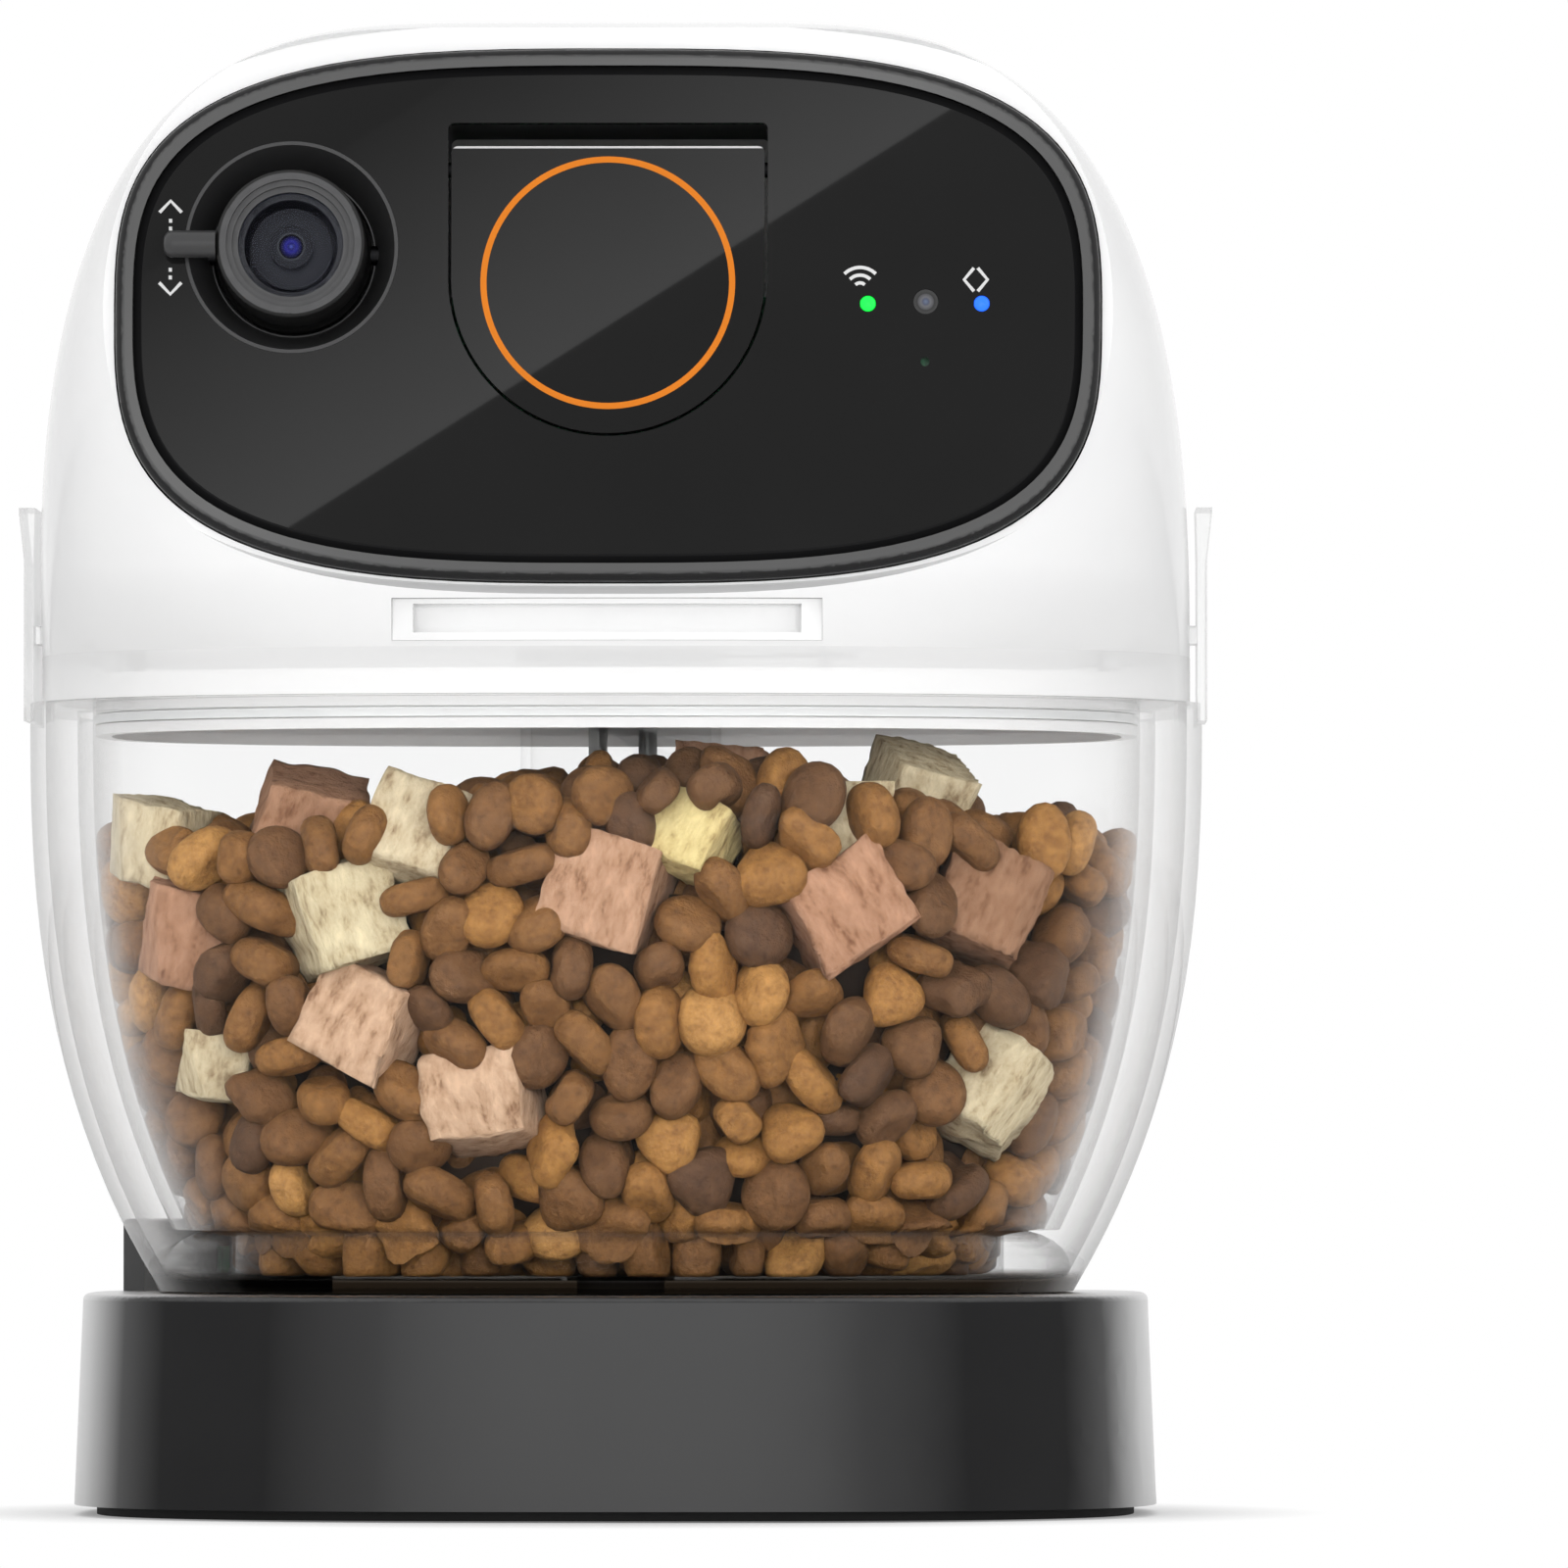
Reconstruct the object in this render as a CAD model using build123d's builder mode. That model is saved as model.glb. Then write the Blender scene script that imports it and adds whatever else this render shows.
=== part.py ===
"""Treat tossing pet camera: a base, a clear treat bowl with a lift screw, and a launcher head.

Millimetres. The origin is at the centre of the footprint, on the floor. +Z is up, and the face
with the camera looks along -Y.
"""

import math
import os

from build123d import *

os.makedirs("parts", exist_ok=True)

# ---------------------------------------------------------------- driving dimensions

# Base
BASE_HALF_WIDTH = 85.0
BASE_HALF_DEPTH = 73.0
BASE_DRAFT = 1.4
BASE_BOTTOM_Z = 1.5
BASE_TOP_Z = 34.5
BASE_WALL = 2.4
BASE_POWER = 3.0
COVER_THICKNESS = 2.4
COVER_SCREW_RADIUS = 1.3
COVER_SCREW_HEAD_RADIUS = 2.8
MOTOR_RADIUS = 12.0
MOTOR_HEIGHT = 16.0
MOTOR_SHAFT_RADIUS = 1.5
BOARD_THICKNESS = 1.6
POST_TOP_Z = 46.0
SENSOR_PLACE = (-62.6, 48.6)
SENSOR_TURN = 52.0
INLET_X = 34.0
INLET_Z = 15.0

# Bowl and the liner inside it
RIM_Z = 127.0
RIM_HALF_WIDTH = 92.3
RIM_HALF_DEPTH = 75.7
SEAT_SHOULDER = 9.0
SEAT_DEPTH_SHARE = 0.82
BOWL_BOTTOM_Z = 34.8
BOWL_FLOOR = 2.0
BOWL_TUCK = 20.3
BOWL_TUCK_POWER = 2.7
BOWL_WALL = 2.4
PLAN_POWER = 2.5
LINER_GAP = 7.4
LINER_WALL = 2.4
LINER_FLANGE = 1.6
SEAT_TOP_Z = 44.4
SEAT_INNER_HALF_WIDTH = 61.0
FILL_TOP_Z = 113.0

# Lift screw, standing at the back of the bowl
SCREW_Y = 30.0
SCREW_RADIUS = 13.6
SCREW_SHAFT_RADIUS = 3.5
SCREW_PITCH = 24.0
SCREW_BOTTOM_Z = 46.0
SCREW_TOP_Z = 160.0
SCREW_FLIGHT = 2.2
SCREW_NOSE_RADIUS = 2.0
SCREW_HUB_RADIUS = 5.2
TUBE_INNER_RADIUS = 14.4
TUBE_WALL = 1.6
TUBE_TOP_Z = 169.0
OUTLET_BOTTOM_Z = 152.0
OUTLET_TOP_Z = 166.0

# Feed drive in the base
GEAR_MODULE = 1.0
GEAR_FACE = 5.0
GEAR_BACKLASH = 0.2
FEED_PINION_TEETH = 16
FEED_GEAR_TEETH = 68
FEED_GEAR_Z = 23.0
DRIVE_SHAFT_RADIUS = 3.0
DECK_BUSH_RADIUS = 9.0
DOG_ACROSS_FLATS = 5.0
DOG_TOP_Z = 41.0

# Head
HEAD_BOTTOM_Z = 127.1
FLOOR_TOP_Z = 134.3
PLUG_BOTTOM_Z = 122.0
HEAD_HALF_WIDTH = 90.4
HEAD_HALF_DEPTH = 74.5
HEAD_FRONT_SWELL = 3.0
HEAD_TOP_Z = 231.9
HEAD_CROWN_Z = 232.3
HEAD_SIDES_START_Z = 130.0
HEAD_CLOSE_POWER = 2.6
HEAD_FRONT_CLOSE_POWER = 24
HEAD_FRONT_SQUARING = 6.5
SHELL_WALL = 2.2
SKIRT_WALL = 2.4
GROOVE_Z = 123.6
GROOVE_HEIGHT = 1.8

# Face: a flat panel that leans back
FACE_LEAN = 5.0
FACE_Z = 186.2
FACE_Y = -69.0
FACE_HALF_WIDTH = 75.8
FACE_HALF_HEIGHT = 41.3
FACE_OUTLINE_V = -0.7
FACE_POWER = 3.1
FACE_STEP = 2.0
BEZEL_DEPTH = 6.0
BEZEL_GAP = 0.25
BEZEL_ROUND = 1.5
BEZEL_RIM = 2.7
PANEL_THICKNESS = 2.0
PANEL_SETBACK = 0.3

# Camera
CAMERA_U = -48.7
CAMERA_V = 9.7
SOCKET_RADIUS = 16.5
SOCKET_THROAT = 12.7
SOCKET_MOUTH = 15.9
SOCKET_BORE_DEPTH = 22.5
BALL_RADIUS = 12.1
BALL_DEPTH = 10.0
BARREL_RADIUS = 11.5
BARREL_PROUD = 4.2
GLASS_RADIUS = 8.05
TILT_PIN_RADIUS = 1.5
LEVER_RADIUS = 2.1
LEVER_PROUD = 3.2
LEVER_REACH = 19.5

# Flap
FLAP_V = 5.0
FLAP_RADIUS = 24.1
FLAP_GAP = 0.5
FLAP_TOP_V = 25.4
OPENING_TOP_V = 29.0
FLAP_THICKNESS = 2.2
FLAP_PIVOT_V = 22.2
FLAP_PIVOT_DEPTH = 4.2
FLAP_PIN_RADIUS = 1.2
RING_RADIUS = 19.6
RING_WIDTH = 0.95

# Throw arm
ARM_Y = -30.0
ARM_Z = 145.0
CUP_NEAR = 20.0
CUP_FAR = 41.5
CUP_HALF_WIDTH = 11.0
THROW_SHAFT_RADIUS = 2.5
THROW_GEAR_TEETH = 18
THROW_PINION_TEETH = 12
THROW_GEAR_X = 19.0
FRAME_TOP_Z = 158.0
FRAME_FRONT_TOP_Z = 152.0
MOTOR_PLATE_TOP_Z = 167.0
FRAME_FLOOR = 2.0

# Side clips
CLIP_HALF_DEPTH = 13.0
CLIP_TOP_Z = 157.8
CLIP_BOTTOM_Z = 124.3
CLIP_PIVOT_X = 88.7
CLIP_PIVOT_Z = 138.0
CLIP_INNER_X = 91.4
CLIP_OUTER_X = 92.9
CLIP_FLARE_Z = 149.5
CLIP_TIP_INNER_X = 91.2
CLIP_TIP_OUTER_X = 93.7
CLIP_PIN_RADIUS = 1.0

# Top button and its board
BUTTON_Y = -18.0
BUTTON_WIDTH = 33.0
BUTTON_DEPTH = 14.0
BUTTON_CORNER = 5.0
BUTTON_POST_X = 21.0
BUTTON_BOARD_Z = 220.4
BUTTON_FLANGE_Z = 228.4

# Main board, standing behind the lift tube
BOARD_Y = 50.0
BOARD_HALF_WIDTH = 40.0
BOARD_BOTTOM_Z = FLOOR_TOP_Z + 2.0
BOARD_TOP_Z = 194.0

# Speaker, facing backwards
SPEAKER_X = 30.0
SPEAKER_Y = 58.0
SPEAKER_Z = 162.0
SPEAKER_RADIUS = 12.9

# Finger grip at the front of the head
GRIP_HALF_WIDTH = 33.0
GRIP_BOTTOM_Z = 135.2
GRIP_TOP_Z = 141.6

# Pocket in the head that takes the face
POCKET_V = 1.0
POCKET_HALF_WIDTH = 79.0
POCKET_HALF_HEIGHT = 43.6
POCKET_FLARE = 0.39

# Power contacts up the back of the lift tube
CONTACT_X = 4.0
CONTACT_WIDTH = 3.0
CONTACT_THICKNESS = 0.4

# Shared
SMALL_SCREW_RADIUS = 1.0
SMALL_SCREW_HEAD_RADIUS = 2.0
SMALL_SCREW_HEAD = 1.3
RUNNING_FIT = 0.05
OUTLINE_POINTS = 48

# How a solid sits on the point where it is placed
on_top = (Align.CENTER, Align.CENTER, Align.MIN)
below = (Align.CENTER, Align.CENTER, Align.MAX)

# ---------------------------------------------------------------- shared outlines


def rounded_outline(plane, half_x, front, back=None, front_power=PLAN_POWER, back_power=None):
    """A closed smooth outline whose front and back halves are superellipses."""
    back = front if back is None else back
    back_power = front_power if back_power is None else back_power
    points = []
    for step in range(OUTLINE_POINTS):
        angle = 2 * math.pi * step / OUTLINE_POINTS
        across = math.cos(angle)
        along = math.sin(angle)
        power, reach = (back_power, back) if along >= 0 else (front_power, front)
        x = half_x * math.copysign(abs(across) ** (2 / power), across)
        y = reach * math.copysign(abs(along) ** (2 / power), along)
        points.append((x, y))
    with BuildSketch(plane) as outline:
        with BuildLine():
            Spline(*points, periodic=True)
        make_face()
    return outline.sketch


def heights(low, high, count):
    """Evenly spaced heights from low to high."""
    return [low + (high - low) * step / (count - 1) for step in range(count)]


def level(z):
    return Plane.XY.offset(z)


def base_section(z, inset):
    """Plan outline of the base at height z, moved inwards by inset."""
    draft = BASE_DRAFT * (z - BASE_BOTTOM_Z) / (BASE_TOP_Z - BASE_BOTTOM_Z)
    half_width = BASE_HALF_WIDTH - draft - inset
    half_depth = BASE_HALF_DEPTH - draft - inset
    return rounded_outline(level(z), half_width, half_depth, front_power=BASE_POWER)


def bowl_half_width(z):
    tuck = max(RIM_Z - z, 0) / (RIM_Z - BOWL_BOTTOM_Z)
    return RIM_HALF_WIDTH - BOWL_TUCK * tuck**BOWL_TUCK_POWER


def bowl_section(z, inset):
    """Plan outline of the bowl at height z, moved inwards by inset."""
    half_width = bowl_half_width(z)
    half_depth = RIM_HALF_DEPTH * half_width / RIM_HALF_WIDTH
    return rounded_outline(level(z), half_width - inset, half_depth - inset)


def head_section(z, inset):
    """Plan outline of the head at height z: round at the rim, with a flatter front higher up."""
    side_rise = max(z - HEAD_SIDES_START_Z, 0) / (HEAD_CROWN_Z - HEAD_SIDES_START_Z)
    rise = (z - FLOOR_TOP_Z) / (HEAD_CROWN_Z - FLOOR_TOP_Z)
    half_width = HEAD_HALF_WIDTH * (1 - side_rise**HEAD_CLOSE_POWER) ** 0.25
    swell = HEAD_FRONT_SWELL * math.sin(math.pi / 2 * min(2.2 * rise, 1))
    front = (HEAD_HALF_DEPTH + swell) * (1 - rise**HEAD_FRONT_CLOSE_POWER) ** 0.25
    back = HEAD_HALF_DEPTH * (1 - rise**HEAD_CLOSE_POWER) ** 0.4
    return rounded_outline(
        level(z),
        half_width - inset,
        front - inset,
        back - inset,
        front_power=PLAN_POWER + HEAD_FRONT_SQUARING * rise,
        back_power=PLAN_POWER,
    )


def head_heights(low, high, count):
    """Heights that crowd together towards the crown, where the head closes fastest."""
    return [low + (high - low) * math.sin(math.pi / 2 * step / (count - 1)) for step in range(count)]


def rod_plane(x, y, z):
    """A plane across an axis that runs along X."""
    return Plane(origin=(x, y, z), x_dir=(0, 1, 0), z_dir=(1, 0, 0))


def cross_plane(x, y, z):
    """A plane across an axis that runs along Y, with its normal towards +Y."""
    return Plane(origin=(x, y, z), x_dir=(-1, 0, 0), z_dir=(0, 1, 0))


lean = math.radians(FACE_LEAN)
face_plane = Plane(
    origin=(0, FACE_Y, FACE_Z),
    x_dir=(1, 0, 0),
    z_dir=(0, -math.cos(lean), math.sin(lean)),
)


def on_face(u, v, proud=0.0):
    """A plane parallel to the face, u to the right, v up, standing proud of it."""
    return Plane(
        origin=face_plane.from_local_coords((u, v, proud)),
        x_dir=face_plane.x_dir,
        z_dir=face_plane.z_dir,
    )


def face_outline(proud, grow):
    """Outline of the face at a depth, grown outwards."""
    return rounded_outline(
        on_face(0, FACE_OUTLINE_V, proud),
        FACE_HALF_WIDTH + grow,
        FACE_HALF_HEIGHT + grow,
        front_power=FACE_POWER,
    )


def gear_outline(plane, teeth, turned=0.0):
    """Involute spur gear outline with stub teeth; a tooth points along x when turned is 0."""
    pitch = GEAR_MODULE * teeth / 2
    base = pitch * math.cos(math.radians(20))
    tip = pitch + 0.8 * GEAR_MODULE
    root = pitch - 1.05 * GEAR_MODULE
    pitch_roll = math.sqrt((pitch / base) ** 2 - 1)
    involute_at_pitch = pitch_roll - math.atan(pitch_roll)
    half_tooth = (math.pi * GEAR_MODULE / 2 - GEAR_BACKLASH) / (2 * pitch)
    start = max(base, root)
    flank = []
    for step in range(5):
        radius = start + (tip - start) * step / 4
        roll = math.sqrt(max((radius / base) ** 2 - 1, 0))
        flank.append((radius, half_tooth + involute_at_pitch - (roll - math.atan(roll))))
    if root < base:
        flank.insert(0, (root, flank[0][1]))
    points = []
    for tooth in range(teeth):
        middle = turned + 2 * math.pi * tooth / teeth
        sides = [(radius, middle - angle) for radius, angle in flank]
        sides += [(radius, middle + angle) for radius, angle in reversed(flank)]
        points += [(radius * math.cos(angle), radius * math.sin(angle)) for radius, angle in sides]
    with BuildSketch(plane) as outline:
        with BuildLine():
            Polyline(*points, close=True)
        make_face()
    return outline.sketch


# ---------------------------------------------------------------- base

cover_post_places = [(62, 38), (-62, -38), (62, -38), (-36, 58)]
motor_x = -GEAR_MODULE * (FEED_PINION_TEETH + FEED_GEAR_TEETH) / 2
cover_top = BASE_BOTTOM_Z + COVER_THICKNESS
contact_y = SCREW_Y + TUBE_INNER_RADIUS + TUBE_WALL - 0.3
deck_bottom = BASE_TOP_Z - BASE_WALL

with BuildPart() as base_housing:
    loft([base_section(BASE_BOTTOM_Z, 0), base_section(BASE_TOP_Z, 0)])
    fillet(base_housing.faces().sort_by(Axis.Z)[-1].edges(), radius=1.0)
    loft(
        [base_section(BASE_BOTTOM_Z, BASE_WALL), base_section(deck_bottom, BASE_WALL)],
        mode=Mode.SUBTRACT,
    )
    # screw posts under the deck
    with BuildSketch(level(cover_top + 0.1)):
        with Locations(*cover_post_places):
            Circle(COVER_SCREW_RADIUS + 2.3)
    extrude(until=Until.NEXT)
    with BuildSketch(level(cover_top + 0.1)):
        with Locations(*cover_post_places):
            Circle(COVER_SCREW_RADIUS)
    extrude(amount=14, mode=Mode.SUBTRACT)
    # drive shaft passage
    with BuildSketch(level(deck_bottom)):
        with Locations((0, SCREW_Y)):
            Circle(DECK_BUSH_RADIUS)
    extrude(amount=BASE_WALL, mode=Mode.SUBTRACT)
    # holes for the power contacts
    with BuildSketch(level(deck_bottom)):
        with Locations((-CONTACT_X, contact_y), (CONTACT_X, contact_y)):
            Circle(1.2)
    extrude(amount=BASE_WALL, mode=Mode.SUBTRACT)
    # power inlet opening in the back wall
    with BuildSketch(cross_plane(INLET_X, 60, INLET_Z)):
        SlotOverall(9.4, 3.8)
    extrude(amount=20, mode=Mode.SUBTRACT)
base_housing.part.label = "base_housing"
export_step(base_housing.part, "parts/base_housing.step")

with BuildPart() as bottom_cover:
    extrude(base_section(BASE_BOTTOM_Z, BASE_WALL + 0.25), amount=COVER_THICKNESS)
    # cradle ring for the motor and bearing boss for the drive shaft
    with BuildSketch(level(cover_top)):
        with Locations((motor_x, SCREW_Y)):
            Circle(MOTOR_RADIUS + 2.0)
        with Locations((0, SCREW_Y)):
            Circle(6.5)
    extrude(amount=6)
    with BuildSketch(level(cover_top)):
        with Locations((motor_x, SCREW_Y)):
            Circle(MOTOR_RADIUS + 0.1)
    extrude(amount=6, mode=Mode.SUBTRACT)
    with BuildSketch(level(cover_top + 1)):
        with Locations((0, SCREW_Y)):
            Circle(4.6)
    extrude(amount=5, mode=Mode.SUBTRACT)
    # stand-offs for the power board
    with BuildSketch(level(cover_top)):
        with Locations((22, -38), (22, 2), (52, -18)):
            Circle(2.5)
    extrude(amount=5)
    # countersunk screw holes
    with Locations(*[(x, y, BASE_BOTTOM_Z) for x, y in cover_post_places]):
        with Locations(Location((0, 0, 0), (180, 0, 0))):
            CounterSinkHole(COVER_SCREW_RADIUS + 0.4, COVER_SCREW_HEAD_RADIUS + 0.2)
bottom_cover.part.label = "bottom_cover"
export_step(bottom_cover.part, "parts/bottom_cover.step")

with BuildPart() as rubber_foot:
    extrude(base_section(0, 3.6), amount=BASE_BOTTOM_Z)
    extrude(base_section(0, 14.0), amount=BASE_BOTTOM_Z, mode=Mode.SUBTRACT)
    with BuildSketch(level(0)):
        with Locations(*cover_post_places):
            Circle(4.2)
    extrude(amount=BASE_BOTTOM_Z, mode=Mode.SUBTRACT)
rubber_foot.part.label = "rubber_foot"
export_step(rubber_foot.part, "parts/rubber_foot.step")

with BuildPart() as base_screws:
    for x, y in cover_post_places:
        with BuildSketch(Plane(origin=(x, y, 0), x_dir=(1, 0, 0), z_dir=(0, -1, 0))):
            with BuildLine():
                Polyline(
                    (0, BASE_BOTTOM_Z + 0.1),
                    (COVER_SCREW_HEAD_RADIUS, BASE_BOTTOM_Z + 0.1),
                    (COVER_SCREW_RADIUS, BASE_BOTTOM_Z + 1.6),
                    (COVER_SCREW_RADIUS, BASE_BOTTOM_Z + 13),
                    (0, BASE_BOTTOM_Z + 13),
                    close=True,
                )
            make_face()
        revolve(axis=Axis((x, y, 0), (0, 0, 1)))
        with BuildSketch(level(BASE_BOTTOM_Z)):
            with Locations((x, y)):
                Rectangle(2.6, 0.6)
                Rectangle(0.6, 2.6)
        extrude(amount=0.9, mode=Mode.SUBTRACT)
base_screws.part.label = "base_screws"
export_step(base_screws.part, "parts/base_screws.step")

with BuildPart() as power_board:
    with BuildSketch(level(cover_top + 5)):
        with Locations((36, -18)):
            Rectangle(42, 48)
    extrude(amount=BOARD_THICKNESS)
    # components: capacitors, driver chip and connector
    with BuildSketch(level(cover_top + 5 + BOARD_THICKNESS)):
        with Locations((24, -30), (24, -20)):
            Circle(3.5)
    extrude(amount=8)
    with BuildSketch(level(cover_top + 5 + BOARD_THICKNESS)):
        with Locations((40, -22)):
            Rectangle(9, 9)
        with Locations((49, 0)):
            Rectangle(12, 6)
    extrude(amount=2.5)
power_board.part.label = "power_board"
export_step(power_board.part, "parts/power_board.step")

with BuildPart() as power_inlet:
    with BuildSketch(cross_plane(INLET_X, 60.5, INLET_Z)):
        SlotOverall(8.9, 3.3)
    extrude(amount=9.5)
    with BuildSketch(cross_plane(INLET_X, 62.5, INLET_Z)):
        SlotOverall(8.3, 2.7)
    extrude(amount=7.5, mode=Mode.SUBTRACT)
    # contact tongue
    with BuildSketch(cross_plane(INLET_X, 62.5, INLET_Z)):
        Rectangle(6.6, 0.7)
    extrude(amount=6)
    # the small board that it is soldered to
    with BuildSketch(level(INLET_Z - 3.3)):
        with Locations((INLET_X, 59)):
            Rectangle(16, 14)
    extrude(amount=1.7)
power_inlet.part.label = "power_inlet"
export_step(power_inlet.part, "parts/power_inlet.step")

# Post beside the bowl, at the back left, with the sensor that knows the bowl is on its dock
with BuildPart() as dock_post:
    post_shape = base_section(BASE_TOP_Z, 3.2)
    extrude(post_shape, amount=POST_TOP_Z - BASE_TOP_Z)
    extrude(
        bowl_section(POST_TOP_Z, -0.8).moved(Location((0, 0, BASE_TOP_Z - POST_TOP_Z))),
        amount=POST_TOP_Z - BASE_TOP_Z,
        mode=Mode.SUBTRACT,
    )
    with BuildSketch(level(BASE_TOP_Z)):
        with Locations((-64, 42)):
            Rectangle(34, 34)
    extrude(amount=POST_TOP_Z - BASE_TOP_Z, mode=Mode.INTERSECT)
    fillet(dock_post.edges().filter_by(Axis.Z), radius=1.2)
    fillet(dock_post.faces().sort_by(Axis.Z)[-1].edges(), radius=0.8)
    with BuildSketch(level(BASE_TOP_Z)):
        with Locations(Location(SENSOR_PLACE, SENSOR_TURN)):
            Rectangle(10, 3.4)
    extrude(amount=8, mode=Mode.SUBTRACT)
dock_post.part.label = "dock_post"
export_step(dock_post.part, "parts/dock_post.step")

with BuildPart() as bowl_sensor:
    with BuildSketch(level(BASE_TOP_Z)):
        with Locations(Location(SENSOR_PLACE, SENSOR_TURN)):
            Rectangle(9, 2.6)
    extrude(amount=7)
bowl_sensor.part.label = "bowl_sensor"
export_step(bowl_sensor.part, "parts/bowl_sensor.step")

# Sprung pins that feed the contact strips
with BuildPart() as base_contacts:
    with BuildSketch(level(deck_bottom - 3)):
        with Locations((-CONTACT_X, contact_y), (CONTACT_X, contact_y)):
            Circle(1.15)
    extrude(amount=BASE_TOP_Z + 0.2 - deck_bottom + 3)
base_contacts.part.label = "base_contacts"
export_step(base_contacts.part, "parts/base_contacts.step")

# Feed drive
with BuildPart() as feed_motor:
    with BuildSketch(level(cover_top)):
        with Locations((motor_x, SCREW_Y)):
            Circle(MOTOR_RADIUS)
    extrude(amount=MOTOR_HEIGHT)
    fillet(feed_motor.edges().filter_by(GeomType.CIRCLE), radius=0.8)
    with BuildSketch(level(cover_top + MOTOR_HEIGHT)):
        with Locations((motor_x, SCREW_Y)):
            Circle(4.0)
    extrude(amount=1.4)
    with BuildSketch(level(cover_top + 4)):
        with Locations((motor_x, SCREW_Y)):
            Circle(MOTOR_SHAFT_RADIUS + RUNNING_FIT)
    extrude(amount=14, mode=Mode.SUBTRACT)
feed_motor.part.label = "feed_motor"
export_step(feed_motor.part, "parts/feed_motor.step")

with BuildPart() as feed_pinion:
    pinion_plane = Plane(origin=(motor_x, SCREW_Y, FEED_GEAR_Z))
    extrude(gear_outline(pinion_plane, FEED_PINION_TEETH), amount=GEAR_FACE)
    # motor shaft
    with BuildSketch(level(cover_top + 5)):
        with Locations((motor_x, SCREW_Y)):
            Circle(MOTOR_SHAFT_RADIUS)
    extrude(amount=FEED_GEAR_Z + GEAR_FACE + 0.6 - cover_top - 5)
feed_pinion.part.label = "feed_pinion"
export_step(feed_pinion.part, "parts/feed_pinion.step")

with BuildPart() as feed_gear:
    gear_plane = Plane(origin=(0, SCREW_Y, FEED_GEAR_Z))
    gap_at_pinion = math.pi + math.pi / FEED_GEAR_TEETH
    extrude(gear_outline(gear_plane, FEED_GEAR_TEETH, turned=gap_at_pinion), amount=GEAR_FACE)
    with BuildSketch(level(FEED_GEAR_Z - 3)):
        with Locations((0, SCREW_Y)):
            Circle(7.0)
    extrude(amount=GEAR_FACE + 5)
    # lightening holes and bore
    with BuildSketch(level(FEED_GEAR_Z)):
        with Locations((0, SCREW_Y)):
            with PolarLocations(20, 6):
                Circle(7.0)
    extrude(amount=GEAR_FACE, mode=Mode.SUBTRACT)
    with BuildSketch(level(FEED_GEAR_Z - 3)):
        with Locations((0, SCREW_Y)):
            Circle(DRIVE_SHAFT_RADIUS)
    extrude(amount=GEAR_FACE + 5, mode=Mode.SUBTRACT)
feed_gear.part.label = "feed_gear"
export_step(feed_gear.part, "parts/feed_gear.step")

with BuildPart() as drive_shaft:
    with BuildSketch(level(cover_top + 1.2)):
        with Locations((0, SCREW_Y)):
            Circle(DRIVE_SHAFT_RADIUS)
    extrude(amount=BASE_TOP_Z - cover_top - 1.2)
    # six-sided dog that turns the lift screw
    with BuildSketch(level(BASE_TOP_Z)):
        with Locations((0, SCREW_Y)):
            RegularPolygon(DOG_ACROSS_FLATS / 2, 6, major_radius=False)
    extrude(amount=DOG_TOP_Z - BASE_TOP_Z)
    chamfer(drive_shaft.faces().sort_by(Axis.Z)[-1].edges(), length=0.6)
drive_shaft.part.label = "drive_shaft"
export_step(drive_shaft.part, "parts/drive_shaft.step")

with BuildPart() as shaft_bushes:
    for bottom, height, outer in ((cover_top + 1, 5, 4.6), (deck_bottom, BASE_WALL, DECK_BUSH_RADIUS)):
        with BuildSketch(level(bottom)):
            with Locations((0, SCREW_Y)):
                Circle(outer)
                Circle(DRIVE_SHAFT_RADIUS + RUNNING_FIT, mode=Mode.SUBTRACT)
        extrude(amount=height)
shaft_bushes.part.label = "shaft_bushes"
export_step(shaft_bushes.part, "parts/shaft_bushes.step")

# ---------------------------------------------------------------- bowl

bowl_floor_top = BOWL_BOTTOM_Z + BOWL_FLOOR

with BuildPart() as treat_bowl:
    loft([bowl_section(z, 0) for z in heights(BOWL_BOTTOM_Z, RIM_Z, 10)])
    loft(
        [bowl_section(z, BOWL_WALL) for z in heights(bowl_floor_top, RIM_Z + 0.5, 10)],
        mode=Mode.SUBTRACT,
    )
    # seat for the screw's bush
    with BuildSketch(level(BOWL_BOTTOM_Z)):
        with Locations((0, SCREW_Y)):
            Circle(7.0)
    extrude(amount=BOWL_FLOOR, mode=Mode.SUBTRACT)
    # slots for the contact strips
    with Locations((-CONTACT_X, contact_y, BOWL_BOTTOM_Z), (CONTACT_X, contact_y, BOWL_BOTTOM_Z)):
        Box(CONTACT_WIDTH + 0.2, 2.4, 10, mode=Mode.SUBTRACT)
    # notches in the rim for the side clips
    notch_width = 5.0
    for side in (-1, 1):
        with Locations((side * (CLIP_INNER_X - 0.3 + notch_width / 2), 0, RIM_Z - 1.0)):
            Box(notch_width, 2 * CLIP_HALF_DEPTH + 0.8, 4.4, mode=Mode.SUBTRACT)
treat_bowl.part.label = "treat_bowl"
export_step(treat_bowl.part, "parts/treat_bowl.step")

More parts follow.
